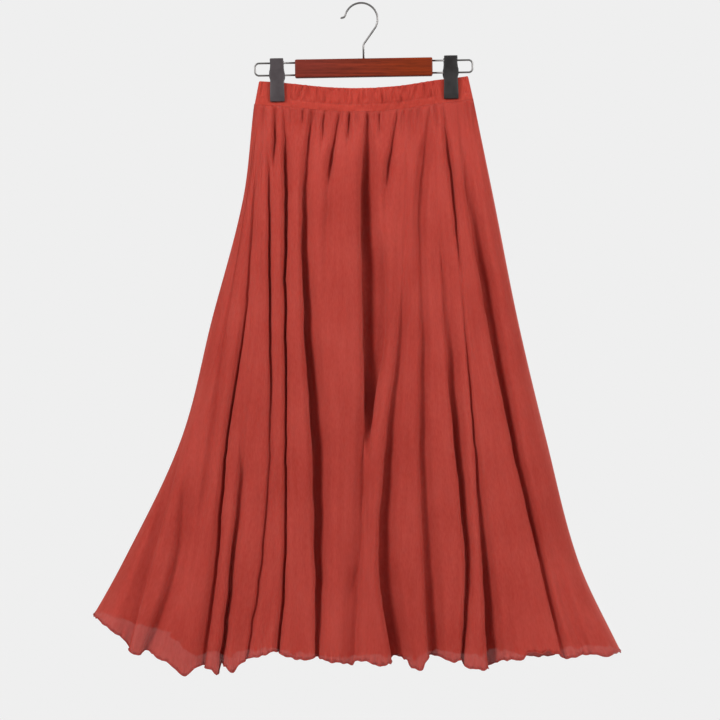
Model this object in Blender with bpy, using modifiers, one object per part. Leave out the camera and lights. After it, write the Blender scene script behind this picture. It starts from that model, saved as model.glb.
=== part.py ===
"""
Maxi skirt with an elastic waist, clipped to a trouser hanger.

Metres, +Z up, the front of the skirt faces -Y. The origin is the inside top of the hanger's hook, where a
rail carries it, so the whole object hangs below the origin.
"""

import math
from bisect import bisect_right
from collections import namedtuple

import bmesh
import bpy
from mathutils import Vector

# ---- Skirt: driving dimensions -----------------------------------------------------------------------
SEAM_GAP = 0.0003        # between two pieces that are sewn together
CLOTH_WALL = 0.0015      # the panels
BAND_WALL = 0.003        # casing with the elastic inside
BAND_HEIGHT = 0.0365
BAND_OPENING = 0.013     # between the two walls of the band, midway between the clips
BAND_END_GAP = 0.005     # the same past the clips, where the band turns back
BAND_POINTED = 1.5       # 1 opens the band as a sine, more closes it to a point at each clip
BAND_END_LOBE = 0.016    # past a clip, where the band is open again
GRIP_MARGIN = 0.003      # flat cloth on each side of a clip's jaws
HEM_HEIGHT = 0.0028      # overlocked edge of the hem
HEM_GAP = 0.0006         # between the panel and its overlocked edge, measured down the cloth
SIDE_TURN = 0.003        # straight part of a panel where it turns round to its side seam
CREASE_ROUND = 0.002     # radius at the bottom of a fold's trough
CREASE_SHARPNESS = 1.2   # 1 is a trough with a pointed bottom, 2 a round one
CREASE_GROWTH = 0.07     # down from where a fold begins to where it has its full depth
WAIST_FULLNESS = 0.35    # width of a trough at the waist, as a share of its width at the hem
PANEL_FULL_DROP = 0.09   # below the waist seam, where the panel stands out as far as its crests
OUTLINE_SQUARENESS = 3   # seen from above, 2 is an ellipse and more is squarer

# The levels at which the skirt is measured, as drops below the origin.
LEVELS = (0.167, 0.304, 0.490, 0.676, 0.862, 1.001)      # waist, hip, thigh, knee, calf, hem

# The hanging outline at each level. Left and right are the side edges seen from the front, front and back
# are how far the crests of the folds stand out from the plane of the hanger.
Outline = namedtuple("Outline", "waist hip thigh knee calf hem")
LEFT_EDGE = Outline(-0.167, -0.183, -0.231, -0.279, -0.367, -0.445)
RIGHT_EDGE = Outline(0.178, 0.206, 0.243, 0.287, 0.336, 0.401)
FRONT_CREST = Outline(0.012, 0.034, 0.048, 0.060, 0.072, 0.080)
BACK_CREST = Outline(0.012, 0.032, 0.046, 0.058, 0.068, 0.074)

# The troughs between the folds, from left to right: where each runs at the six levels, the drop at which
# it begins, its depth as a share of the crest's height, and its width on the left and right at the hem.
Fold = namedtuple("Fold", "name waist hip thigh knee calf hem begins depth left right")
FRONT_FOLDS = (
    Fold("left_edge_soft", -0.164, -0.180, -0.222, -0.270, -0.325, -0.366, 0.72, 0.20, 0.022, 0.008),
    Fold("left_corner", -0.160, -0.176, -0.208, -0.255, -0.284, -0.332, 0.70, 0.40, 0.010, 0.014),
    Fold("left_long", -0.155, -0.169, -0.180, -0.207, -0.225, -0.244, 0.26, 0.42, 0.014, 0.007),
    Fold("left_short", -0.146, -0.156, -0.166, -0.185, -0.196, -0.215, 0.66, 0.45, 0.008, 0.012),
    Fold("under_left_clip", -0.133, -0.142, -0.140, -0.141, -0.150, -0.177, 0.16, 0.35, 0.009, 0.008),
    Fold("inside_left_clip", -0.121, -0.116, -0.117, -0.118, -0.115, -0.130, 0.16, 0.45, 0.008, 0.009),
    Fold("left_middle", -0.077, -0.090, -0.083, -0.071, -0.067, -0.066, 0.16, 0.45, 0.010, 0.014),
    Fold("centre", 0.009, 0.006, 0.014, 0.004, 0.000, 0.008, 0.16, 0.42, 0.012, 0.010),
    Fold("right_middle", 0.060, 0.066, 0.060, 0.045, 0.034, 0.053, 0.33, 0.42, 0.012, 0.016),
    Fold("inside_right_clip", 0.104, 0.087, 0.094, 0.093, 0.100, 0.106, 0.16, 0.30, 0.011, 0.013),
    Fold("right_short", 0.116, 0.119, 0.129, 0.149, 0.164, 0.159, 0.36, 0.42, 0.012, 0.008),
    Fold("under_right_clip", 0.128, 0.146, 0.159, 0.176, 0.190, 0.202, 0.16, 0.45, 0.008, 0.010),
    Fold("right_long", 0.149, 0.163, 0.202, 0.232, 0.271, 0.308, 0.22, 0.45, 0.007, 0.016),
    Fold("right_edge_soft", 0.165, 0.188, 0.224, 0.262, 0.304, 0.361, 0.78, 0.18, 0.014, 0.020),
)
BACK_FOLDS = (
    Fold("back_1", -0.157, -0.170, -0.205, -0.246, -0.318, -0.370, 0.62, 0.30, 0.012, 0.010),
    Fold("back_2", -0.140, -0.150, -0.172, -0.205, -0.252, -0.290, 0.24, 0.42, 0.012, 0.010),
    Fold("back_3", -0.124, -0.122, -0.134, -0.158, -0.188, -0.214, 0.16, 0.45, 0.009, 0.013),
    Fold("back_4", -0.090, -0.096, -0.100, -0.108, -0.122, -0.140, 0.16, 0.42, 0.012, 0.009),
    Fold("back_5", -0.046, -0.050, -0.056, -0.060, -0.064, -0.072, 0.30, 0.45, 0.010, 0.014),
    Fold("back_6", -0.012, -0.010, -0.012, -0.004, -0.006, -0.010, 0.16, 0.38, 0.013, 0.011),
    Fold("back_7", 0.030, 0.034, 0.040, 0.050, 0.056, 0.060, 0.16, 0.45, 0.010, 0.012),
    Fold("back_8", 0.070, 0.072, 0.080, 0.096, 0.112, 0.120, 0.40, 0.36, 0.012, 0.014),
    Fold("back_9", 0.100, 0.106, 0.122, 0.144, 0.166, 0.184, 0.16, 0.45, 0.009, 0.010),
    Fold("back_10", 0.132, 0.144, 0.166, 0.196, 0.224, 0.250, 0.16, 0.42, 0.011, 0.012),
    Fold("back_11", 0.156, 0.176, 0.204, 0.242, 0.284, 0.326, 0.42, 0.38, 0.012, 0.016),
)

# Drop of the hem along each panel, from the left corner to the right one.
Point = namedtuple("Point", "x drop")
FRONT_HEM = (
    Point(-0.412, 0.944), Point(-0.387, 0.966), Point(-0.347, 1.000), Point(-0.332, 0.996),
    Point(-0.273, 1.023), Point(-0.244, 1.015), Point(-0.218, 1.022), Point(-0.198, 1.017),
    Point(-0.165, 1.004), Point(-0.130, 0.998), Point(-0.088, 1.004), Point(-0.017, 1.012),
    Point(0.053, 1.006), Point(0.084, 1.014), Point(0.120, 1.008), Point(0.195, 1.016),
    Point(0.219, 1.004), Point(0.308, 1.004), Point(0.401, 1.002),
)
BACK_HEM = (
    Point(-0.412, 0.944), Point(-0.383, 0.961), Point(-0.336, 0.977), Point(-0.305, 0.985),
    Point(-0.284, 1.006), Point(-0.262, 1.020), Point(-0.214, 1.022), Point(-0.150, 1.018),
    Point(-0.072, 1.026), Point(0.000, 1.022), Point(0.084, 1.028), Point(0.184, 1.022),
    Point(0.250, 1.014), Point(0.330, 1.008), Point(0.401, 1.002),
)

# Top edge of the waistband, which sags between the clips.
BAND_TOP = (
    Point(-0.160, 0.120), Point(-0.132, 0.1215), Point(-0.105, 0.124), Point(-0.050, 0.130),
    Point(0.005, 0.1315), Point(0.060, 0.1275), Point(0.115, 0.1185), Point(0.137, 0.116),
    Point(0.168, 0.112),
)
BAND_ENDS_TOP = (-0.158, 0.166)
BAND_ENDS_BOTTOM = (-0.165, 0.174)

# How many faces run across and down the cloth.
GAP_SHARES = (0.15, 0.38, 0.62, 0.85, 1.0)               # between two troughs
END_SHARES = (0.06, 0.20, 0.42, 0.72, 1.0)               # between a side edge and the first trough
PANEL_ROWS = (0.0, 0.035, 0.09, 0.18, 0.29, 0.41, 0.53, 0.65, 0.77, 0.89, 1.0)
BAND_COLUMNS = 22                                        # between the clips
BAND_ROWS = (0.0, 0.35, 0.70, 1.0)

# ---- Hanger: driving dimensions ----------------------------------------------------------------------
HANGER_TILT = math.radians(0.95)     # the right side hangs a little higher
HOOK_WIRE = 0.0030
HOOK_RADIUS = 0.0254                 # to the middle of the wire
HOOK_SLANT = math.radians(36)        # of the straight part below the bow, from upright
HOOK_SLANT_LENGTH = 0.027
HOOK_BEND_RADIUS = 0.010
HOOK_BOW = math.radians(201)         # how far the bow turns
HOOK_TIP_RADIUS = 0.005
HOOK_TIP_TURN = math.radians(-63)    # the tip turns back up
HOOK_TIP_LENGTH = 0.0025
HOOK_GROUND_LENGTH = 0.0014          # of the wire's end, ground down
HOOK_GROUND = 0.7                    # to this share of its thickness
BAR_LENGTH = 0.213
BAR_HEIGHT = 0.028
BAR_DEPTH = 0.013
BAR_ROUND = 0.0022
BAR_DROP = 0.0993                    # of the bar's middle, below the origin
BAR_X = 0.0027                       # the hook's shank and the bar's middle
FRAME_WIRE = 0.0028
FRAME_LENGTH = 0.337
FRAME_SPREAD = 0.019                 # between the upper and the lower wire
FRAME_CORNER = 0.006
SOCKET_DEPTH = 0.020                 # how far each wire goes into the bar
SOCKET_OVERRUN = 0.001               # of each hole past the wire's end
WIRE_CLEARANCE = 0.0003
CLIP_SPREAD = 0.269                  # between the middles of the two clips
JAW_CLEARANCE = 0.0003               # between a jaw's lip and the cloth it holds
JAW_EDGE = 0.0006                    # bevel along a jaw's edges
JAW_EDGE_ANGLE = math.radians(40)    # sharper edges than this are bevelled
EAR_RADIUS = 0.0044
EAR_WALL = 0.0016
EAR_SPREAD = 0.0096                  # from the middle of a jaw to the front jaw's ears
EAR_SEGMENTS = 8
PIVOT_BORE_LENGTH = 0.03
SPRING_WIRE = 0.0009
SPRING_RADIUS = 0.0029
SPRING_TURNS = 4.5
SPRING_STEPS = 45                    # points along the coil
SPRING_LENGTH = 0.008
SPRING_ARM = 0.015                   # height of the arms' ends above the pivot

# Sections of a jaw from its lever to its lip: height above the pivot, width, and the distance of its outer
# and inner face from the middle plane.
Section = namedtuple("Section", "height width outer inner")
LIP = BAND_WALL + SEAM_GAP / 2 + JAW_CLEARANCE
JAW = (
    Section(0.0246, 0.0210, 0.0126, 0.0104),
    Section(0.0140, 0.0204, 0.0112, 0.0090),
    Section(0.0045, 0.0236, 0.0098, 0.0074),
    Section(-0.0015, 0.0244, 0.0092, 0.0068),
    Section(-0.0080, 0.0212, 0.0088, 0.0065),
    Section(-0.0300, 0.0226, 0.0078, 0.0056),
    Section(-0.0335, 0.0228, 0.0076, LIP),
    Section(-0.0414, 0.0226, 0.0064, LIP),
)
LEVER_SECTION = JAW[1]
PIVOT_SECTION = JAW[3]


# ---- Scene -------------------------------------------------------------------------------------------
def clear_scene():
    for thing in list(bpy.data.objects):
        bpy.data.objects.remove(thing, do_unlink=True)


def new_collection(name):
    collection = bpy.data.collections.new(name)
    bpy.context.scene.collection.children.link(collection)
    return collection


def principled(name, colour, roughness, metallic=0.0):
    material = bpy.data.materials.new(name)
    material.use_nodes = True
    material.diffuse_color = (*colour, 1.0)
    shader = material.node_tree.nodes["Principled BSDF"]
    shader.inputs["Base Color"].default_value = (*colour, 1.0)
    shader.inputs["Roughness"].default_value = roughness
    shader.inputs["Metallic"].default_value = metallic
    return material


def add_object(name, data, collection, material=None, parent=None):
    thing = bpy.data.objects.new(name, data)
    collection.objects.link(thing)
    if material:
        data.materials.append(material)
    thing.parent = parent
    return thing


def hide_cutter(cutter):
    cutter.hide_render = True
    cutter.display_type = "WIRE"


# ---- Curves through a few measured points ------------------------------------------------------------
def slope_at(stations, values, i):
    before = max(i - 1, 0)
    after = min(i + 1, len(stations) - 1)
    return (values[after] - values[before]) / (stations[after] - stations[before])


def smooth_through(stations, values, at):
    """Cubic through the values at the stations, straight on past both ends."""
    last = len(stations) - 1
    if at <= stations[0]:
        return values[0] + slope_at(stations, values, 0) * (at - stations[0])
    if at >= stations[last]:
        return values[last] + slope_at(stations, values, last) * (at - stations[last])
    i = bisect_right(stations, at) - 1
    span = stations[i + 1] - stations[i]
    t = (at - stations[i]) / span
    start, end = values[i], values[i + 1]
    start_slope = slope_at(stations, values, i) * span
    end_slope = slope_at(stations, values, i + 1) * span
    return (start * (1 + 2 * t) * (1 - t) ** 2 + end * t * t * (3 - 2 * t)
            + start_slope * t * (1 - t) ** 2 - end_slope * t * t * (1 - t))


def at_level(values, drop):
    return smooth_through(LEVELS, values, drop)


def straight_through(points, x):
    """Drop of a broken line at x."""
    for a, b in zip(points, points[1:]):
        if x <= b.x:
            share = max((x - a.x) / (b.x - a.x), 0.0)
            return a.drop + (b.drop - a.drop) * share
    return points[-1].drop


def ease(share):
    share = min(max(share, 0.0), 1.0)
    return share * share * (3 - 2 * share)


# ---- Waistband ---------------------------------------------------------------------------------------
def band_top_drop(x):
    stations = [point.x for point in BAND_TOP]
    return smooth_through(stations, [point.drop for point in BAND_TOP], x)


def clip_places():
    """Middles of the two clips along the level hanger."""
    return (BAR_X - CLIP_SPREAD / 2, BAR_X + CLIP_SPREAD / 2)


def grips():
    """Where the band is pinched flat, as (start, end) for each clip of the tilted hanger."""
    half = max(section.width for section in JAW) / 2 + GRIP_MARGIN
    swing = (BAND_TOP[0].drop + BAND_HEIGHT / 2) * math.sin(HANGER_TILT)
    return [(x + swing - half, x + swing + half) for x in clip_places()]


def band_half_gap(x):
    """Half of the space between the band's two walls: shut in the clips, open between and past them."""
    shut = SEAM_GAP / 2
    left, right = grips()
    if left[1] < x < right[0]:
        share = (x - left[1]) / (right[0] - left[1])
        return shut + (BAND_OPENING / 2 - shut) * math.sin(math.pi * share) ** BAND_POINTED
    past = max(left[0] - x, x - right[1], 0.0)
    return shut + (BAND_END_GAP / 2 - shut) * ease(past / BAND_END_LOBE)


def band_outer(x, ends):
    """Distance of the band's outer face from the middle plane, rounded off where it turns back."""
    thickness = band_half_gap(x) + BAND_WALL
    to_end = min(x - ends[0], ends[1] - x)
    turn = BAND_WALL + BAND_END_GAP / 2
    if to_end >= turn:
        return thickness
    return thickness * math.sqrt(max(1 - (1 - to_end / turn) ** 2, 0.0))


def band_stations(ends):
    """Places along one wall of the band, closer together where it turns back and by the clips."""
    turn = BAND_WALL + BAND_END_GAP / 2
    left, right = ends
    corner = [turn * (1 - math.cos(math.radians(angle))) for angle in (0, 30, 60, 90)]
    inner = [place for grip in grips() for place in grip]
    start, end = inner[1], inner[2]
    inner[2:2] = [start + (end - start) * i / BAND_COLUMNS for i in range(1, BAND_COLUMNS)]
    return [left + step for step in corner] + inner + [right - step for step in reversed(corner)]


def band_rows():
    rows = []
    for share in BAND_ROWS:
        ends = [top + (bottom - top) * share for top, bottom in zip(BAND_ENDS_TOP, BAND_ENDS_BOTTOM)]
        stations = band_stations(ends)
        drops = [band_top_drop(x) + BAND_HEIGHT * share for x in stations]
        front = [(x, -band_outer(x, ends), -drop) for x, drop in zip(stations, drops)]
        back = [(x, band_outer(x, ends), -drop) for x, drop in zip(stations, drops)]
        rows.append(front + back[-2:0:-1])
    return rows


# ---- Panels ------------------------------------------------------------------------------------------
def trough(fold, x, drop):
    """How deep a fold's trough is at x, from 0 to 1: a narrow round bottom with soft shoulders."""
    middle = at_level(fold[1:7], drop)
    down = (drop - LEVELS[0]) / (LEVELS[-1] - LEVELS[0])
    fullness = WAIST_FULLNESS + (1 - WAIST_FULLNESS) * down
    width = (fold.left if x < middle else fold.right) * fullness
    away = math.sqrt((x - middle) ** 2 + CREASE_ROUND ** 2) - CREASE_ROUND
    begun = ease((drop - fold.begins) / CREASE_GROWTH)
    return begun * math.exp(-((away / width) ** CREASE_SHARPNESS))


def panel_depth(x, drop, waist_drop, crests, folds):
    """Distance of a panel's outer face from the middle plane."""
    left, right = at_level(LEFT_EDGE, drop), at_level(RIGHT_EDGE, drop)
    aside = abs(2 * x - left - right) / (right - left)
    crest = at_level(crests, drop) * math.sqrt(max(1 - aside ** OUTLINE_SQUARENESS, 0.0))
    for fold in folds:
        crest *= 1 - fold.depth * trough(fold, x, drop)
    at_seam = band_outer(x, BAND_ENDS_BOTTOM) - (BAND_WALL - CLOTH_WALL) / 2
    below = ease((drop - waist_drop) / PANEL_FULL_DROP)
    return at_seam * (1 - below) + crest * below


def column_places(folds):
    """Every column between the side edges as (index of the gap between two troughs, share across it)."""
    last = len(folds)
    places = [(0, share) for share in END_SHARES]
    for gap in range(1, last):
        places += [(gap, share) for share in GAP_SHARES]
    places += [(last, 1 - share) for share in reversed(END_SHARES[:-1])]
    return places


def column_x(folds, place, drop):
    gap, share = place
    start = LEFT_EDGE if gap == 0 else folds[gap - 1][1:7]
    end = RIGHT_EDGE if gap == len(folds) else folds[gap][1:7]
    x0, x1 = at_level(start, drop), at_level(end, drop)
    return x0 + (x1 - x0) * share


def drop_where(line, folds, place, drop):
    """Drop at which a column of the panel meets a line, searched from a first guess."""
    for _ in range(6):
        drop = line(column_x(folds, place, drop))
    return drop


def panel_rows(side, folds, crests, hem):
    """Rows of points down a panel. Side is -1 for the front and 1 for the back.

    At both side edges the cloth turns round to the seam.
    """
    seam, turn = SEAM_GAP / 2, SEAM_GAP / 2 + SIDE_TURN
    first, last = (0, 0.0), (len(folds), 1.0)
    columns = [(first, seam), (first, turn)]
    columns += [(place, None) for place in column_places(folds)]
    columns += [(last, turn), (last, seam)]
    strips = []
    for place, edge_depth in columns:
        waist_drop = drop_where(lambda x: band_top_drop(x) + BAND_HEIGHT, folds, place, LEVELS[0])
        hem_drop = drop_where(lambda x: straight_through(hem, x), folds, place, LEVELS[-1])
        top, bottom = waist_drop + SEAM_GAP, hem_drop - HEM_HEIGHT - HEM_GAP
        strip = []
        for share in PANEL_ROWS:
            drop = top + (bottom - top) * share
            x = column_x(folds, place, drop)
            depth = edge_depth
            if depth is None:
                depth = max(panel_depth(x, drop, waist_drop, crests, folds), turn)
            strip.append((x, side * depth, -drop))
        strips.append(strip)
    return list(zip(*strips))


def hem_rows(rows):
    """The overlocked edge, which carries straight on from the last two rows of the panel."""
    strip = [[], []]
    for above, edge in zip(rows[-2], rows[-1]):
        down = (Vector(edge) - Vector(above)) / (above[2] - edge[2])
        strip[0].append(Vector(edge) + down * HEM_GAP)
        strip[1].append(Vector(edge) + down * (HEM_GAP + HEM_HEIGHT))
    return strip


# ---- Meshes ------------------------------------------------------------------------------------------
def sheet_mesh(name, rows, closed=False, flip=False):
    """An open surface through rows of points, joined row to row."""
    mesh = bpy.data.meshes.new(name)
    bm = bmesh.new()
    grid = [[bm.verts.new(point) for point in row] for row in rows]
    count = len(rows[0])
    for upper, lower in zip(grid, grid[1:]):
        for i in range(count if closed else count - 1):
            j = (i + 1) % count
            corners = (upper[i], lower[i], lower[j], upper[j])
            bm.faces.new(tuple(reversed(corners)) if flip else corners)
    bm.to_mesh(mesh)
    bm.free()
    mesh.shade_smooth()
    return mesh


def thicken(thing, wall, even=False):
    """Gives a sheet its wall, inwards from its outer face. An even one keeps its thickness in turns."""
    solidify = thing.modifiers.new("wall", "SOLIDIFY")
    solidify.thickness = wall
    solidify.offset = -1.0
    solidify.use_even_offset = even


def build_cloth(collection):
    cloth = principled("rust_crepe", (0.47, 0.058, 0.042), 0.9)
    band_cloth = principled("rust_crepe_band", (0.50, 0.062, 0.045), 0.88)
    thread = principled("rust_thread", (0.38, 0.040, 0.030), 0.7)
    panels = (
        ("front", -1, FRONT_FOLDS, FRONT_CREST, FRONT_HEM),
        ("back", 1, BACK_FOLDS, BACK_CREST, BACK_HEM),
    )
    for name, side, folds, crests, hem in panels:
        rows = panel_rows(side, folds, crests, hem)
        panel = add_object("skirt_" + name, sheet_mesh(name, rows, flip=side > 0), collection, cloth)
        thicken(panel, CLOTH_WALL)

        strip_mesh = sheet_mesh(name + "_hem", hem_rows(rows), flip=side > 0)
        strip = add_object("hem_" + name, strip_mesh, collection, thread)
        thicken(strip, CLOTH_WALL)

    band = add_object("waistband", sheet_mesh("band", band_rows(), closed=True), collection, band_cloth)
    thicken(band, BAND_WALL, even=True)


# ---- Hanger ------------------------------------------------------------------------------------------
def wire_route(start, heading, moves):
    """Points in the XZ plane along straight runs, as (length,), and bends, as (radius, angle to the left)."""
    x, z = start
    points = [(x, 0.0, z)]
    for move in moves:
        if len(move) == 1:
            x += move[0] * math.cos(heading)
            z += move[0] * math.sin(heading)
            points.append((x, 0.0, z))
            continue
        radius, angle = move
        turn = math.copysign(1.0, angle)
        centre_x = x - turn * radius * math.sin(heading)
        centre_z = z + turn * radius * math.cos(heading)
        steps = max(3, math.ceil(abs(angle) / math.radians(15)))
        for i in range(1, steps + 1):
            direction = heading + angle * i / steps
            points.append((centre_x + turn * radius * math.sin(direction), 0.0,
                           centre_z - turn * radius * math.cos(direction)))
        x, _, z = points[-1]
        heading += angle
    return points


def add_wire(name, points, diameter, collection, material, parent, resolution=2, end_radius=1.0):
    curve = bpy.data.curves.new(name, "CURVE")
    curve.dimensions = "3D"
    curve.bevel_depth = diameter / 2
    curve.bevel_resolution = resolution
    curve.use_fill_caps = True
    spline = curve.splines.new("POLY")
    spline.points.add(len(points) - 1)
    for point, place in zip(spline.points, points):
        point.co = (*place, 1.0)
    spline.points[-1].radius = end_radius
    return add_object(name, curve, collection, material, parent)


def build_hook(collection, parent, steel):
    top_of_bow = HOOK_WIRE / 2
    bow_height = (HOOK_BEND_RADIUS * math.sin(HOOK_SLANT) + HOOK_SLANT_LENGTH * math.cos(HOOK_SLANT)
                  + HOOK_RADIUS * (1 + math.sin(HOOK_SLANT)))
    start = -BAR_DROP + BAR_HEIGHT / 2 - SOCKET_DEPTH
    shank = top_of_bow - bow_height - start
    moves = ((shank,), (HOOK_BEND_RADIUS, -HOOK_SLANT), (HOOK_SLANT_LENGTH,), (HOOK_RADIUS, HOOK_BOW),
             (HOOK_TIP_RADIUS, HOOK_TIP_TURN), (HOOK_TIP_LENGTH,), (HOOK_GROUND_LENGTH,))
    route = wire_route((BAR_X, start), math.pi / 2, moves)
    add_wire("hook", route, HOOK_WIRE, collection, steel, parent, end_radius=HOOK_GROUND)


def build_frame(collection, parent, steel):
    straight = (FRAME_LENGTH - BAR_LENGTH) / 2 + SOCKET_DEPTH - FRAME_CORNER
    moves = ((straight,), (FRAME_CORNER, -math.pi / 2), (FRAME_SPREAD - 2 * FRAME_CORNER,),
             (FRAME_CORNER, -math.pi / 2), (straight,))
    start = (BAR_LENGTH / 2 - SOCKET_DEPTH, -BAR_DROP + FRAME_SPREAD / 2)
    for name, side in (("left", -1), ("right", 1)):
        route = [(BAR_X + side * x, y, z) for x, y, z in wire_route(start, 0.0, moves)]
        add_wire("frame_" + name, route, FRAME_WIRE, collection, steel, parent)


def round_cutter(name, radius, depth, location, axis, cutters, parent):
    """A cylinder along X or Z that bores a hole."""
    mesh = bpy.data.meshes.new(name)
    bm = bmesh.new()
    bmesh.ops.create_cone(bm, cap_ends=True, segments=12, radius1=radius, radius2=radius, depth=depth)
    bm.to_mesh(mesh)
    bm.free()
    cutter = add_object(name, mesh, cutters, parent=parent)
    cutter.location = location
    if axis == "X":
        cutter.rotation_euler = (0.0, math.pi / 2, 0.0)
    hide_cutter(cutter)
    return cutter


def cut(thing, cutter, operation="DIFFERENCE"):
    boolean = thing.modifiers.new(operation.lower(), "BOOLEAN")
    boolean.operation = operation
    boolean.solver = "EXACT"
    boolean.object = cutter


def build_bar(collection, cutters, parent, wood):
    mesh = bpy.data.meshes.new("bar")
    bm = bmesh.new()
    bmesh.ops.create_cube(bm, size=1.0)
    bmesh.ops.scale(bm, vec=(BAR_LENGTH, BAR_DEPTH, BAR_HEIGHT), verts=bm.verts)
    bm.to_mesh(mesh)
    bm.free()
    bar = add_object("bar", mesh, collection, wood, parent)
    bar.location = (BAR_X, 0.0, -BAR_DROP)
    bevel = bar.modifiers.new("rounded_edges", "BEVEL")
    bevel.width = BAR_ROUND
    bevel.segments = 3
    depth = SOCKET_DEPTH + 2 * SOCKET_OVERRUN
    place = (BAR_X, 0.0, -BAR_DROP + (BAR_HEIGHT - SOCKET_DEPTH) / 2)
    radius = HOOK_WIRE / 2 + WIRE_CLEARANCE
    cut(bar, round_cutter("hook_hole", radius, depth, place, "Z", cutters, parent))
    radius = FRAME_WIRE / 2 + WIRE_CLEARANCE
    for side in (-1, 1):
        for level in (-1, 1):
            x = BAR_X + side * (BAR_LENGTH - SOCKET_DEPTH) / 2
            place = (x, 0.0, -BAR_DROP + level * FRAME_SPREAD / 2)
            cut(bar, round_cutter(f"frame_hole_{side}_{level}", radius, depth, place, "X", cutters, parent))


def jaw_mesh(side):
    """A pressed plate lofted through the jaw's sections. Side is -1 for the front jaw and 1 for the back."""
    rows = []
    for part in JAW:
        half = part.width / 2
        rows.append([(-half, side * part.outer, part.height), (half, side * part.outer, part.height),
                     (half, side * part.inner, part.height), (-half, side * part.inner, part.height)])
    mesh = sheet_mesh("jaw", rows, closed=True, flip=side > 0)
    bm = bmesh.new()
    bm.from_mesh(mesh)
    ends = [edge for edge in bm.edges if edge.is_boundary]
    bmesh.ops.holes_fill(bm, edges=ends, sides=4)
    bmesh.ops.recalc_face_normals(bm, faces=bm.faces)
    bm.to_mesh(mesh)
    bm.free()
    mesh.shade_flat()
    return mesh


def ear_mesh(side, x):
    """A D-shaped cheek round the pivot, with its straight side in the jaw's plate."""
    arc = [math.pi * (i / EAR_SEGMENTS - 0.5) for i in range(EAR_SEGMENTS + 1)]
    reach = (PIVOT_SECTION.inner + PIVOT_SECTION.outer) / 2
    outline = [(-side * EAR_RADIUS * math.cos(angle), EAR_RADIUS * math.sin(angle)) for angle in arc]
    outline += [(side * reach, EAR_RADIUS), (side * reach, -EAR_RADIUS)]
    mesh = bpy.data.meshes.new("ear")
    bm = bmesh.new()
    face = bm.faces.new([bm.verts.new((x - EAR_WALL / 2, y, z)) for y, z in outline])
    extruded = bmesh.ops.extrude_face_region(bm, geom=[face])
    moved = [part for part in extruded["geom"] if isinstance(part, bmesh.types.BMVert)]
    bmesh.ops.translate(bm, vec=(EAR_WALL, 0.0, 0.0), verts=moved)
    bmesh.ops.recalc_face_normals(bm, faces=bm.faces)
    bm.to_mesh(mesh)
    bm.free()
    return mesh


def build_jaw(name, side, pivot, collection, cutters, parent, plastic):
    jaw = add_object(name, jaw_mesh(side), collection, plastic, parent)
    jaw.location = pivot
    edge = jaw.modifiers.new("soft_edges", "BEVEL")
    edge.width = JAW_EDGE
    edge.segments = 1
    edge.limit_method = "ANGLE"
    edge.angle_limit = JAW_EDGE_ANGLE
    ear_x = EAR_SPREAD if side < 0 else EAR_SPREAD - EAR_WALL - SEAM_GAP
    for hand in (-1, 1):
        ear = add_object(f"{name}_ear_{hand}", ear_mesh(side, hand * ear_x), cutters, parent=parent)
        ear.location = pivot
        hide_cutter(ear)
        cut(jaw, ear, "UNION")
    radius = FRAME_WIRE / 2 + WIRE_CLEARANCE
    cut(jaw, round_cutter(name + "_hole", radius, PIVOT_BORE_LENGTH, pivot, "X", cutters, parent))


def spring_route():
    """From the front arm, round the coil, to the back arm."""
    lever = LEVER_SECTION.inner - SPRING_WIRE / 2 - JAW_CLEARANCE
    half = SPRING_LENGTH / 2
    coil = []
    for i in range(SPRING_STEPS + 1):
        angle = math.pi + 2 * math.pi * SPRING_TURNS * i / SPRING_STEPS
        x = -half + SPRING_LENGTH * i / SPRING_STEPS
        coil.append((x, SPRING_RADIUS * math.cos(angle), SPRING_RADIUS * math.sin(angle)))
    return [(-half, -lever, SPRING_ARM)] + coil + [(half, lever, SPRING_ARM)]


def build_clip(name, x, collection, cutters, parent, plastic, steel):
    pivot = Vector((x, 0.0, -BAR_DROP - FRAME_SPREAD / 2))
    build_jaw(name + "_front_jaw", -1, pivot, collection, cutters, parent, plastic)
    build_jaw(name + "_back_jaw", 1, pivot, collection, cutters, parent, plastic)
    spring = add_wire(name + "_spring", spring_route(), SPRING_WIRE, collection, steel, parent, resolution=1)
    spring.location = pivot


def build_hanger(collection, cutters):
    hang = bpy.data.objects.new("hanger_hang", None)
    collection.objects.link(hang)
    hang.rotation_euler = (0.0, -HANGER_TILT, 0.0)
    wood = principled("mahogany_lacquer", (0.165, 0.026, 0.018), 0.3)
    steel = principled("nickel_plated_steel", (0.45, 0.44, 0.45), 0.28, 1.0)
    plastic = principled("black_plastic", (0.035, 0.033, 0.034), 0.45)
    build_bar(collection, cutters, hang, wood)
    build_hook(collection, hang, steel)
    build_frame(collection, hang, steel)
    left, right = clip_places()
    build_clip("left_clip", left, collection, cutters, hang, plastic, steel)
    build_clip("right_clip", right, collection, cutters, hang, plastic, steel)


clear_scene()
parts = new_collection("maxi_skirt_on_hanger")
guides = new_collection("cutters")
build_cloth(parts)
build_hanger(parts, guides)
bpy.context.view_layer.update()
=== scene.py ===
"""
Looks of a maxi skirt on a trouser hanger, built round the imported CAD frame.

Metres, +Z up, the front of the skirt faces -Y. The origin is the inside top of the hanger's hook.
"""

import math
from collections import namedtuple

import bmesh
import bpy
import numpy as np
from mathutils import Matrix, Vector, noise


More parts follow.
